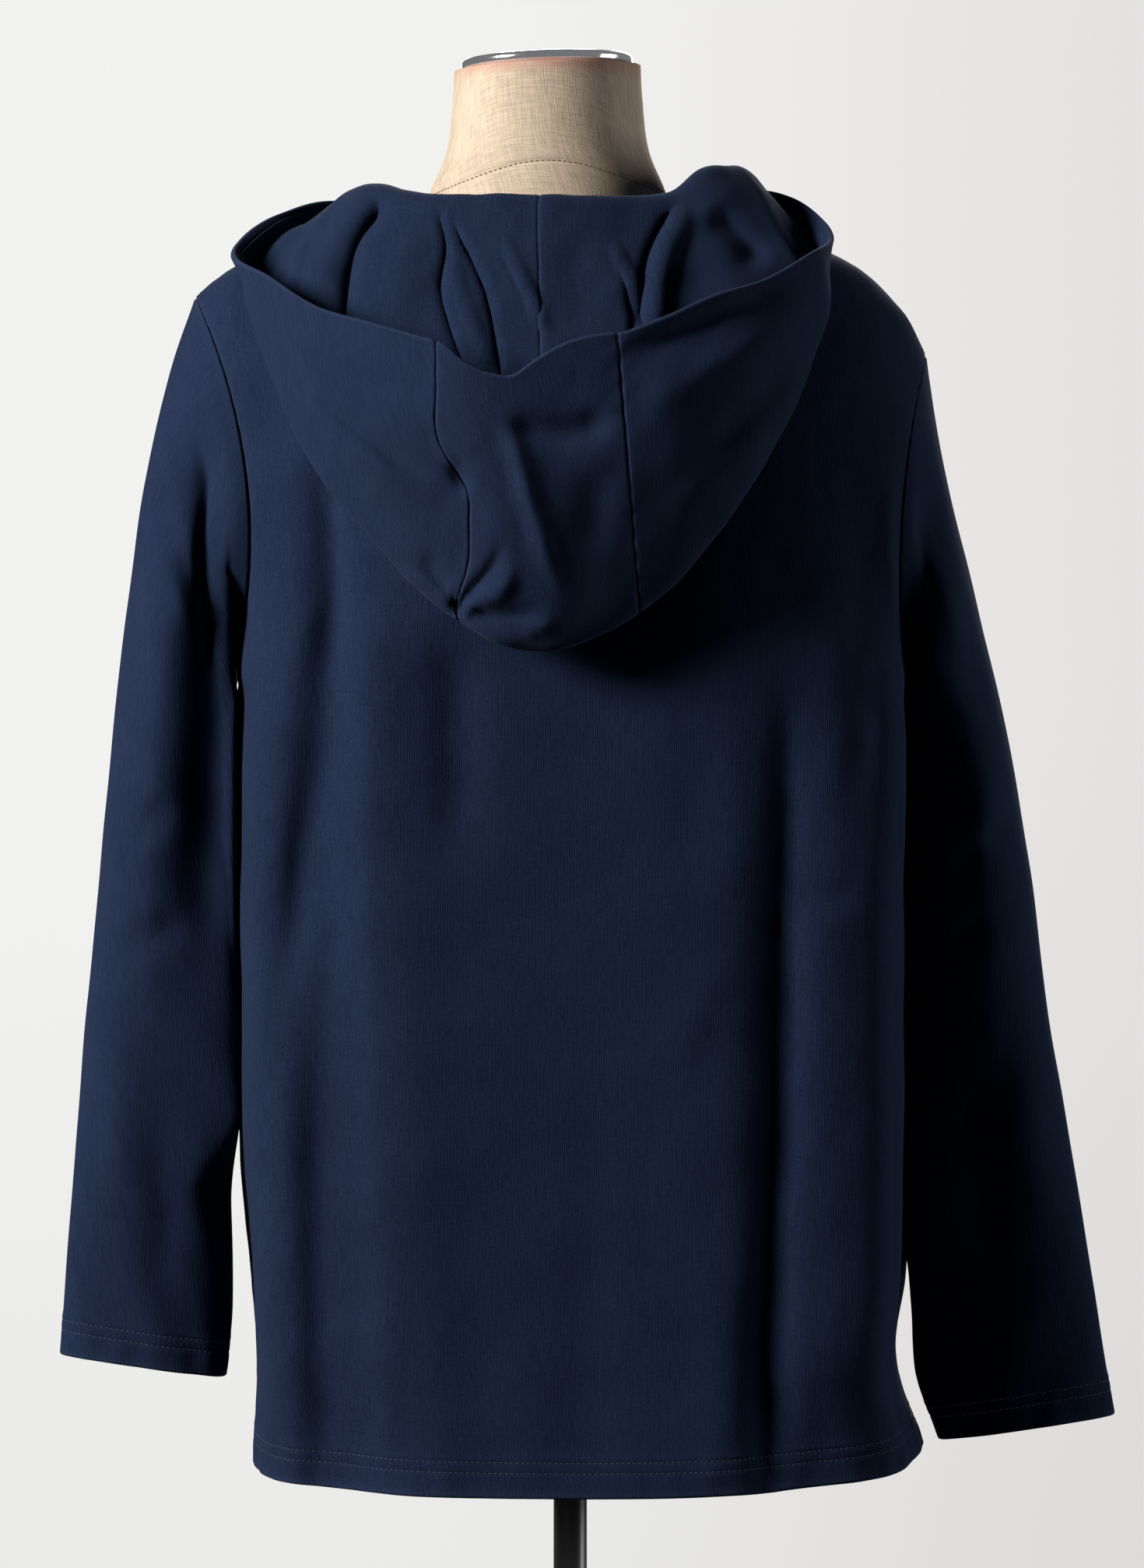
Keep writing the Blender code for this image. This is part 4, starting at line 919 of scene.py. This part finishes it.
flapCreases = [
    ([(0.037, 1.287), (0.024, 1.24), (0.011, 1.201), (0.0, 1.187)], 0.006, 0.0038, -0.7, 0.2, 0.3),
    ([(0.04, 1.281), (0.006, 1.277), (-0.026, 1.284)], 0.008, -0.0045, 0.3, 0.25, 0.25),
    ([(0.177, 1.345), (0.154, 1.314), (0.116, 1.281), (0.071, 1.246)], 0.006, -0.0052, 0.7, 0.2, 0.25),
    ([(0.168, 1.332), (0.146, 1.301), (0.108, 1.265), (0.07, 1.234)], 0.009, 0.0036, 0.0, 0.25, 0.3),
    ([(0.17, 1.325), (0.146, 1.282), (0.108, 1.236), (0.074, 1.206)], 0.009, -0.0024, 0.0, 0.3, 0.3),
    ([(-0.124, 1.338), (-0.073, 1.306), (-0.036, 1.287)], 0.011, 0.0042, 0.3, 0.25, 0.3),
    ([(-0.126, 1.37), (-0.086, 1.345), (-0.048, 1.327), (-0.02, 1.318)], 0.009, -0.004, 0.0, 0.25, 0.3),
    ([(-0.128, 1.325), (-0.103, 1.293), (-0.07, 1.257)], 0.009, -0.0036, 0.0, 0.3, 0.35),
    ([(-0.11, 1.285), (-0.085, 1.258), (-0.05, 1.225)], 0.01, 0.0026, 0.0, 0.35, 0.4),
    ([(0.159, 1.333), (0.129, 1.311), (0.1, 1.301), (0.074, 1.295)], 0.008, -0.0026, 0.3, 0.3, 0.35),
    ([(0.064, 1.262), (0.059, 1.252), (0.054, 1.243)], 0.005, -0.0042, 0.4, 0.35, 0.35),
    ([(-0.015, 1.262), (-0.013, 1.236), (-0.01, 1.205)], 0.01, -0.0022, 0.0, 0.35, 0.4),
    ([(0.061, 1.184), (0.044, 1.203), (0.035, 1.217)], 0.0034, -0.0034, 0.7, 0.12, 0.4),
    ([(0.06, 1.181), (0.04, 1.189), (0.028, 1.205)], 0.004, 0.0036, 0.4, 0.12, 0.4),
    ([(0.058, 1.178), (0.036, 1.176), (0.011, 1.179)], 0.0036, -0.0034, -0.5, 0.12, 0.4),
    ([(0.058, 1.172), (0.04, 1.164), (0.022, 1.162)], 0.0034, 0.0026, 0.0, 0.15, 0.4),
    ([(0.064, 1.184), (0.08, 1.194), (0.1, 1.202)], 0.0036, 0.0026, 0.5, 0.15, 0.4),
    ([(0.066, 1.19), (0.074, 1.2), (0.082, 1.212)], 0.0036, -0.0026, 0.0, 0.2, 0.4),
    ([(0.062, 1.176), (0.066, 1.17), (0.074, 1.162)], 0.0034, -0.0022, 0.0, 0.2, 0.4),
    ([(0.0625, 1.1845), (0.0615, 1.1815), (0.06, 1.179)], 0.0042, -0.0045, 0.0, 0.0, 0.0),
    ([(0.029, 1.167), (0.018, 1.17), (0.007, 1.175)], 0.004, 0.002, 0.5, 0.3, 0.35),
]
wallCreases = [    # seen inside the open hood
    ([(0.073, 1.405), (0.068, 1.381), (0.071, 1.358), (0.063, 1.329), (0.054, 1.305)],
     0.0028, -0.0034, 0.6, 0.1, 0.1),
    ([(0.068, 1.4), (0.055, 1.374), (0.046, 1.351), (0.038, 1.305)], 0.0026, -0.0034, -0.6, 0.15, 0.1),
    ([(0.066, 1.385), (0.062, 1.36), (0.052, 1.333), (0.046, 1.31)], 0.004, 0.0022, 0.0, 0.25, 0.1),
    ([(0.039, 1.388), (0.034, 1.379), (0.018, 1.344), (0.01, 1.329)], 0.0026, 0.0022, -0.9, 0.2, 0.25),
    ([(-0.022, 1.386), (-0.034, 1.366), (-0.039, 1.354)], 0.0026, 0.0024, 0.6, 0.3, 0.3),
    ([(-0.03, 1.366), (-0.034, 1.344), (-0.035, 1.325)], 0.0028, -0.003, 0.4, 0.25, 0.15),
    ([(0.086, 1.396), (0.092, 1.372), (0.09, 1.345)], 0.012, 0.003, 0.0, 0.35, 0.35),
    ([(0.0, 1.395), (-0.004, 1.365), (-0.01, 1.33)], 0.011, -0.002, 0.0, 0.35, 0.35),
]
lobeCreases = [    # where the hood's sides turn in around the neck
    ([(0.1, 1.412), (0.116, 1.388), (0.123, 1.365), (0.125, 1.33)], 0.005, -0.009, 0.0, 0.2, 0.1),
    ([(0.104, 1.412), (0.12, 1.402), (0.134, 1.384), (0.14, 1.355)], 0.007, 0.005, 0.3, 0.25, 0.2),
    ([(0.14, 1.402), (0.156, 1.382), (0.166, 1.358)], 0.013, -0.011, 0.0, 0.3, 0.2),
    ([(0.148, 1.392), (0.152, 1.374), (0.158, 1.352)], 0.0036, 0.003, 0.0, 0.3, 0.2),
    ([(-0.058, 1.408), (-0.046, 1.385), (-0.041, 1.368), (-0.038, 1.335)], 0.0042, -0.006, -0.6, 0.15, 0.1),
    ([(-0.066, 1.41), (-0.054, 1.385), (-0.048, 1.36), (-0.046, 1.335)], 0.007, 0.007, 0.0, 0.2, 0.15),
    ([(-0.075, 1.405), (-0.093, 1.389), (-0.11, 1.37)], 0.008, -0.007, 0.0, 0.25, 0.3),
]


def hoodPoints(first, last, columns):    # the columns crowd towards the strip
    share = np.arange(columns + 1) / columns
    if last < hood["at"][-1] / 2:
        share = 1 - (1 - share) ** hood["crowding"]
    elif first > hood["at"][-1] / 2:
        share = share ** hood["crowding"]
    places = mix(first, last, share)
    angles = np.radians(smoothLine(hood["at"], hood["neck"], places))
    folds, bags, rims = (smoothLine(hood["at"], hood[name], places) for name in ("fold", "bag", "rim"))
    along = np.arange(hood["rows"] + 1) / hood["rows"]
    points = np.zeros((len(along), len(places), 3))
    beyondFold, beyondBag = np.zeros(points.shape[:2]), np.zeros(points.shape[:2])
    for c, angle in enumerate(angles):
        sine, cosine = math.sin(angle), math.cos(angle)
        reach = neck["back"] if cosine > 0 else neck["front"]
        drop = neck["backDrop"] if cosine > 0 else neck["frontDrop"]
        seam = np.array([neck["x"] + neck["halfWidth"] * sine, neck["y"] + reach * cosine,
                         neck["sideZ"] - drop * (1 - sine**2) + gaps["neck"]])
        height = hood["stand"] * mix(hood["standFront"], 1, (1 + cosine) / 2)
        stand = seam + np.array([sine * hood["standOut"], cosine * hood["standOut"], height])
        fold, bag, rim = folds[c], bags[c], rims[c]
        deep = min(1.0, np.linalg.norm(fold - bag) / hood["bagDepth"])
        wall = mix(fold, bag, hood["wallPlace"]) + np.array([0, hood["wallBelly"] * deep, 0])
        flap = mix(bag, rim, hood["flapPlace"]) + np.array([0, hood["flapBelly"] * deep, 0])
        path = np.array([seam, stand, fold, wall, bag, flap, rim])
        lengths = np.concatenate([[0], np.cumsum(np.linalg.norm(np.diff(path, axis=0), axis=1) ** 0.5)])
        points[:, c] = smoothLine(lengths, path, along * lengths[-1])
        beyondFold[:, c] = along * lengths[-1] - lengths[2]
        beyondBag[:, c] = along * lengths[-1] - lengths[4]
    return points, beyondFold, beyondBag


bend = {
    "z": [1.17, 1.182, 1.205, 1.225, 1.244, 1.272, 1.3, 1.33],
    "shift": [0, 0, 0.008, 0.01, 0.0105, -0.0035, -0.002, 0],
    "x": 0.068, "width": 0.024, "rimReach": 0.018,
}
rimWave = {
    "x": [-0.14, -0.11, -0.08, -0.05, -0.03, -0.012, 0.004, 0.02, 0.031, 0.042,
          0.056, 0.07, 0.085, 0.11, 0.15],
    "rise": [0.0, -0.002, 0.001, -0.002, -0.003, 0.002, 0.004, 0.001, -0.003, 0.0,
             0.003, 0.003, 0.0, -0.003, 0.0],
}


def creasedHood(first, last, columns, middle):
    points, beyondFold, beyondBag = hoodPoints(first, last, columns)
    flapShare = fadeUp(beyondBag / 0.05)
    seamShift = smoothLine(bend["z"], bend["shift"], points[..., 2])
    near = np.exp(-((points[..., 0] - bend["x"]) / bend["width"]) ** 2)
    points[..., 0] -= seamShift * near * flapShare
    atRim = np.exp(-lengthAlong(points[::-1])[::-1] / bend["rimReach"])
    behind = fadeUp((points[..., 1] - 0.06) / 0.04)
    points[..., 2] += smoothLine(rimWave["x"], rimWave["rise"], points[..., 0]) * atRim * behind
    grid = clothGrid(points, middle)
    normals = clothNormals(points, -1)
    onWall = fadeUp(beyondFold / 0.04) * fadeUp(-beyondBag / 0.05)
    x, z = points[..., 0], points[..., 2]
    toBack = fadeUp((points[..., 1] - 0.01) / 0.05)
    rimReach = lengthAlong(points[::-1])[::-1]
    flap = creaseHeight(x, z, flapCreases) * flapShare * fadeUp(rimReach / 0.012 + 0.15)
    wall = creaseHeight(x, z, wallCreases + lobeCreases) * onWall
    grid[..., 1] += (flap * hood["flapStrength"] + wall) * toBack
    down = z - 0.7 * points[..., 1]
    soft = 0.0013 * softNoise(x, down, 0.060, 31) + 0.0005 * softNoise(x, down, 0.022, 32)
    soft = soft * fadeUp(lengthAlong(points) / 0.02) * np.minimum(1, 0.3 + rimReach / 0.03)
    grid[..., :3] += normals * soft[..., None]
    return grid


rim = {"radius": 0.0017, "turns": 8, "insideRows": (3, 5, 8)}


def rimEdge(grid, outward):    # the outer cloth turns over the rim to meet the lining
    normals = clothNormals(grid[..., :3], outward)
    last, before, normal = grid[-1], grid[-3], normals[-1]
    outOfEdge = unit(last[:, :3] - before[:, :3])
    added = []
    for turn in np.linspace(0, math.pi, rim["turns"])[1:]:
        row = last.copy()
        row[:, :3] += rim["radius"] * (normal * (math.cos(turn) - 1) + outOfEdge * math.sin(turn))
        row[:, 5] = 1.0
        added.append(row)
    for i in rim["insideRows"]:
        row = grid[-i].copy()
        row[:, :3] -= normals[-i] * 2 * rim["radius"]
        added.append(row)
    return np.concatenate([grid, np.array(added)])


def makeHood():
    front = hood["at"][-1]
    side, strip = hood["sideColumns"], hood["stripColumns"]
    right = creasedHood(0, hood["stripFirst"], side, side)
    centre = creasedHood(hood["stripFirst"], hood["stripLast"], strip, strip // 2)
    left = creasedHood(hood["stripLast"], front, side, 0)
    half = strip // 2
    rimRows = [0, 0.0006, 0.0012, 0.0019, 0.0027, 0.0036, 0.0046, 0.0058, 0.0072]
    outside = {
        "hood_right": (right, ("lastColumn",)),
        "hood_centre": (centre, ("firstColumn", "lastColumn")),
        "hood_left": (left, ("firstColumn",)),
    }
    for name, (grid, seams) in outside.items():
        for edge in seams:
            grid = pullIn(grid, edge, gaps["hood"] / 2)
            grid = rollSeam(grid, edge, -1)
        grid = refineEdge(grid, "lastRow", rimRows)
        piece = makeSheet(name, rimEdge(grid, -1), hoodCloth, -1)
        takePlace(piece, name)
    whole = np.concatenate([right, centre[:, 1:], left[:, 1:]], 1)
    normals = clothNormals(whole[..., :3], -1)
    whole[..., :3] -= normals * hood["liningUnder"]
    middle = side + half
    inside = {
        "hood_lining_right": (whole[:, :middle + 1], "lastColumn"),
        "hood_lining_left": (whole[:, middle:], "firstColumn"),
    }
    for name, (grid, seamEdge) in inside.items():
        grid = pullIn(grid, seamEdge, 0.0002)
        grid = rollSeam(grid, seamEdge, -1, -0.8)
        rows = [0.0045 + distance for distance in rimRows]
        grid = refineEdge(grid, "lastRow", [0] + rows)[:-1]
        piece = makeSheet(name, grid, liningCloth, -1)
        takePlace(piece, name)


makeHood()
print("hood draped")


# Dress form

form = {
    "rows": [0.745, 0.76, 0.83, 0.9, 1.01, 1.11, 1.2, 1.27, 1.32, 1.35, 1.372, 1.388, 1.402, 1.418,
             1.445, 1.475, 1.4925],
    "centre": [0, 0, 0, 0, 0, 0, 0.001, 0.003, 0.005, 0.007, 0.009, 0.011, 0.013, 0.013, 0.013, 0.013, 0.013],
    "left": [0.128, 0.15, 0.163, 0.158, 0.136, 0.146, 0.16, 0.172, 0.181, 0.182, 0.17, 0.138, 0.057, 0.05,
             0.04, 0.04, 0.04],
    "right": [0.128, 0.15, 0.163, 0.158, 0.136, 0.146, 0.16, 0.172, 0.181, 0.18, 0.168, 0.133, 0.051, 0.05,
              0.04, 0.04, 0.04],
    "back": [0.076, 0.09, 0.096, 0.096, 0.092, 0.102, 0.11, 0.102, 0.082, 0.062, 0.046, 0.032, 0.02, 0.02,
             0.02, 0.02, 0.02],
    "front": [0.074, 0.088, 0.092, 0.09, 0.09, 0.104, 0.114, 0.108, 0.09, 0.068, 0.05, 0.034, 0.02, 0.02,
              0.02, 0.02, 0.02],
    "coreX": [0.06, 0.06, 0.06, 0.06, 0.06, 0.06, 0.06, 0.06, 0.062, 0.064, 0.067, 0.069, 0.0685, 0.068,
              0.0575, 0.0535, 0.0525],
    "coreY": [0.05, 0.05, 0.05, 0.05, 0.05, 0.05, 0.05, 0.05, 0.05, 0.05, 0.051, 0.053, 0.054, 0.054,
              0.053, 0.0525, 0.052],
    "y": -0.002, "lean": math.radians(2.0), "leanFrom": 1.400, "leanTo": 1.4925,
    "rings": 120, "sides": 128,
    "seamZ": 1.4195, "seamRise": 0.0165,     # the neck seam, at the sides and how much higher at the back
    "capRadius": 0.049, "capHeight": 0.0065,
    "poleRadius": 0.0095, "baseRadius": 0.180, "baseHeight": 0.012,
}


def formPoint(z, turn):
    line = {name: smoothLine(form["rows"], form[name], z) for name in
            ("centre", "left", "right", "back", "front", "coreX", "coreY")}
    lean = smoothLine([0, form["leanFrom"], form["leanTo"], 2], [0, 0, 1, 1], z) * math.tan(form["lean"])
    sine, cosine = np.sin(turn), np.cos(turn)
    half = np.where(cosine > 0, line["left"], line["right"])
    deep = np.where(sine > 0, line["back"], line["front"])
    bodyReach = 1 / np.hypot(cosine / half, sine / deep)
    neckReach = 1 / np.hypot(cosine / line["coreX"], sine / line["coreY"])
    reach = (bodyReach**8 + neckReach**8) ** (1 / 8)
    x = line["centre"] + reach * cosine
    return np.stack([x, form["y"] + reach * sine, z - (x - line["centre"]) * lean], -1)


def seamHeight(turn):    # the neck seam dips at the sides
    return form["seamZ"] + form["seamRise"] * np.sin(turn) ** 2 * np.where(np.sin(turn) > 0, 1, -0.6)


def makeForm():
    turns = np.arange(form["sides"]) / form["sides"] * 2 * math.pi
    turns = turns - 0.22 * np.sin(2 * turns)
    low = np.linspace(form["rows"][0], 1.38, form["rings"] // 2)
    high = np.linspace(1.38, form["rows"][-1], form["rings"])[1:]
    z = np.concatenate([low, high])[:, None] + 0 * turns[None]
    points = formPoint(z, turns[None] + 0 * z)
    normals = clothNormals(points, 1, True)
    grid = clothGrid(points, form["sides"] // 2, True)
    away = abs(z - seamHeight(turns)[None])
    grid[..., :3] -= normals * (0.0009 * np.exp(-(away / 0.0011) ** 2))[..., None]
    rows, columns = grid.shape[:2]
    index = np.arange(rows * columns).reshape(rows, columns)
    after = np.roll(index, -1, 1)
    quads = np.stack([index[:-1], after[:-1], after[1:], index[1:]], -1).reshape(-1, 4).tolist()
    ends = [index[0][::-1].tolist(), index[-1].tolist()]
    mesh = bpy.data.meshes.new("form_torso_linen")
    mesh.from_pydata(grid[..., :3].reshape(-1, 3).tolist(), [], quads + ends)
    mapped = mesh.uv_layers.new(name="flatCloth")
    flat = grid[..., 3:5].reshape(-1, 2)
    corners = np.zeros(len(mesh.loops), np.int32)
    mesh.loops.foreach_get("vertex_index", corners)
    mapped.data.foreach_set("uv", flat[corners].reshape(-1).astype(np.float32))
    mesh.shade_smooth()
    mesh.materials.append(linenCloth)
    piece = bpy.data.objects.new("form_torso_linen", mesh)
    scene.collection.objects.link(piece)
    takePlace(piece, "form_torso")
    fine = np.linspace(0, 2 * math.pi, 400)
    seam = formPoint(seamHeight(fine), fine)
    outward = unit(np.stack([np.cos(fine), np.sin(fine), 0 * fine + 0.25], -1))
    makeStitches("form_neck_stitches", [(seam - outward * 0.0006, outward)], linenThread,
                 {"length": 0.0021, "pitch": 0.0031, "radius": 0.00034, "proud": 0.0})


def makeTurned(name, profile, steps, material, replaced):
    mesh = bpy.data.meshes.new(name)
    mesh.from_pydata([(radius, 0, z) for radius, z in profile], [(i, i + 1) for i in range(len(profile) - 1)], [])
    mesh.materials.append(material)
    piece = bpy.data.objects.new(name, mesh)
    scene.collection.objects.link(piece)
    turn = piece.modifiers.new("turn", "SCREW")
    turn.steps = steps
    turn.render_steps = steps
    turn.use_merge_vertices = True
    turn.merge_threshold = 0.00001
    turn.use_smooth_shade = True
    sharp = piece.modifiers.new("edges", "EDGE_SPLIT")
    sharp.split_angle = math.radians(40)
    takePlace(piece, replaced)
    return piece


makeForm()
capTop = form["capHeight"]
capProfile = [(0, capTop), (0.0430, capTop), (0.0452, capTop - 0.0003), (0.0462, capTop - 0.0009),
              (0.0474, capTop - 0.0006), (0.0484, capTop - 0.0012), (0.0489, capTop - 0.0022),
              (0.049, capTop - 0.0034), (0.0487, 0.0012),
              (0.048, 0.0003), (0.0474, 0.0), (0, 0)]
cap = makeTurned("form_cap_chrome", capProfile, 128, chrome, "form_neck_cap")
cap.location = (neck["x"], form["y"], form["rows"][-1] + 0.0003)
cap.rotation_euler = (0, form["lean"], 0)
poleTop, poleFoot = form["rows"][0] - 0.0003, form["baseHeight"] + 0.0003
poleProfile = [(0, poleTop), (0.0092, poleTop), (0.0095, poleTop - 0.0004), (0.0095, poleFoot + 0.0004),
               (0.0092, poleFoot), (0, poleFoot)]
makeTurned("form_pole_steel", poleProfile, 64, darkMetal, "form_pole")
baseProfile = [(0, 0.012), (0.022, 0.012), (0.024, 0.0115), (0.054, 0.0113), (0.172, 0.0090), (0.1775, 0.0078),
               (0.1797, 0.0058), (0.18, 0.004), (0.18, 0.0006), (0.1794, 0.0), (0, 0)]
makeTurned("form_base_steel", baseProfile, 160, darkMetal, "form_base")
print("dress form built")


# Stitching

makeStitches("hem_stitches", backRows + frontRows, navyThread)
makeStitches("cuff_stitches", cuffRows, navyThread)
print("hems stitched")


# Light, floor and camera

def areaLight(name, place, target, size, power, colour):
    lamp = bpy.data.lights.new(name, "AREA")
    lamp.shape = "RECTANGLE"
    lamp.size, lamp.size_y = size
    lamp.energy = power
    lamp.color = colour
    light = bpy.data.objects.new(name, lamp)
    light.location = place
    direction = np.array(target) - np.array(place)
    light.rotation_mode = "QUATERNION"
    light.rotation_quaternion = Vector(direction).to_track_quat("-Z", "Y")
    scene.collection.objects.link(light)


studio = {
    "key": {"place": (2.20, 1.22, 2.06), "size": (0.8, 0.8), "power": 170, "colour": (1.0, 0.985, 0.96)},
    "side": {"place": (-2.6, -0.10, 1.25), "size": (1.2, 1.5), "power": 31, "colour": (0.97, 0.98, 1.0)},
    "front": {"place": (-0.4, -3.4, 2.5), "size": (2.0, 2.0), "power": 130, "colour": (1.0, 0.99, 0.97)},
    "worldLight": 0.010, "worldMirrored": 0.22,
    # shadedSide and footShade are painted shade on the backdrop that the camera sees
    "pale": (0.885, 0.885, 0.872), "shadedSide": (0.775, 0.757, 0.747), "footShade": (0.93, 0.93, 0.925),
    "lightTint": (0.93, 0.95, 1.0), "mirroredTint": (0.95, 0.96, 1.0),
    "floorRadius": 6.0, "floorClear": (1.2, 3.6), "floorColour": (0.80, 0.80, 0.79),
}


def makeStudio():
    for name in ("key", "side", "front"):
        lamp = studio[name]
        areaLight(name + "Light", lamp["place"], (0.02, 0, 1.12), lamp["size"], lamp["power"], lamp["colour"])
    world = bpy.data.worlds.new("studio")
    scene.world = world
    world.use_nodes = True
    tree = world.node_tree
    tree.nodes.clear()
    direction = addNode(tree, "ShaderNodeTexCoord")
    parts = addNode(tree, "ShaderNodeSeparateXYZ")
    across = addNode(tree, "ShaderNodeMapRange", {"From Min": 0.03, "From Max": -0.095, "To Max": 1.0},
                     interpolation_type="SMOOTHSTEP")
    down = addNode(tree, "ShaderNodeMapRange", {"From Min": 0.02, "From Max": -0.13, "To Max": 1.0},
                   interpolation_type="SMOOTHSTEP")
    tree.links.new(direction.outputs["Generated"], parts.inputs[0])
    tree.links.new(parts.outputs["X"], across.inputs["Value"])
    tree.links.new(parts.outputs["Z"], down.inputs["Value"])
    # painted shade: the backdrop seen by the camera is darker towards the right and towards its foot
    shaded = mixColours(tree, across.outputs[0], studio["pale"], studio["shadedSide"])
    shadedFoot = addNode(tree, "ShaderNodeMix", {0: 1.0}, data_type="RGBA", blend_type="MULTIPLY")
    tree.links.new(down.outputs[0], shadedFoot.inputs[0])
    tree.links.new(shaded, shadedFoot.inputs[6])
    shadedFoot.inputs[7].default_value = (*studio["footShade"], 1)
    seen = addNode(tree, "ShaderNodeBackground", {"Strength": 1.0})
    tree.links.new(shadedFoot.outputs[2], seen.inputs["Color"])
    lit = addNode(tree, "ShaderNodeBackground", {
        "Color": (*studio["lightTint"], 1), "Strength": studio["worldLight"]})
    rays = addNode(tree, "ShaderNodeLightPath")
    mirrored = addNode(tree, "ShaderNodeBackground", {
        "Color": (*studio["mirroredTint"], 1), "Strength": studio["worldMirrored"]})
    reflecting = addNode(tree, "ShaderNodeMixShader")
    chosen = addNode(tree, "ShaderNodeMixShader")
    out = addNode(tree, "ShaderNodeOutputWorld")
    tree.links.new(rays.outputs["Is Glossy Ray"], reflecting.inputs[0])
    tree.links.new(lit.outputs[0], reflecting.inputs[1])
    tree.links.new(mirrored.outputs[0], reflecting.inputs[2])
    tree.links.new(rays.outputs["Is Camera Ray"], chosen.inputs[0])
    tree.links.new(reflecting.outputs[0], chosen.inputs[1])
    tree.links.new(seen.outputs[0], chosen.inputs[2])
    tree.links.new(chosen.outputs[0], out.inputs["Surface"])
    around = np.arange(96) / 96 * 2 * math.pi
    ring = np.stack([np.cos(around), np.sin(around), 0 * around], -1) * studio["floorRadius"]
    disc = bpy.data.meshes.new("studio_floor")
    disc.from_pydata(ring.tolist(), [], [list(range(96))])
    floor = bpy.data.objects.new("studio_floor", disc)
    floor.location = (0, 0, -0.0005)
    scene.collection.objects.link(floor)
    material, tree, shader = newFinish("paleFloor", studio["floorColour"], 0.9, specular=0.1)
    material.surface_render_method = "BLENDED"
    place = addNode(tree, "ShaderNodeTexCoord")
    away = addNode(tree, "ShaderNodeVectorMath", operation="LENGTH")
    clearFrom, clearTo = studio["floorClear"]
    span = addNode(tree, "ShaderNodeMapRange", {"From Min": clearFrom, "From Max": clearTo,
                   "To Min": 1.0, "To Max": 0.0}, interpolation_type="SMOOTHSTEP")
    tree.links.new(place.outputs["Object"], away.inputs[0])
    tree.links.new(away.outputs["Value"], span.inputs["Value"])
    tree.links.new(span.outputs[0], shader.inputs["Alpha"])
    floor.data.materials.append(material)
    floor.visible_diffuse = False


makeStudio()
camera = bpy.data.objects.new("camera", bpy.data.cameras.new("camera"))
camera.data.lens = 161
camera.data.sensor_width = 36
camera.location = (-0.001, 4.0, 1.0845)
camera.rotation_euler = (math.pi / 2, 0, math.pi)
camera.data.clip_start, camera.data.clip_end = 0.1, 100
scene.collection.objects.link(camera)
scene.camera = camera
print("studio set")
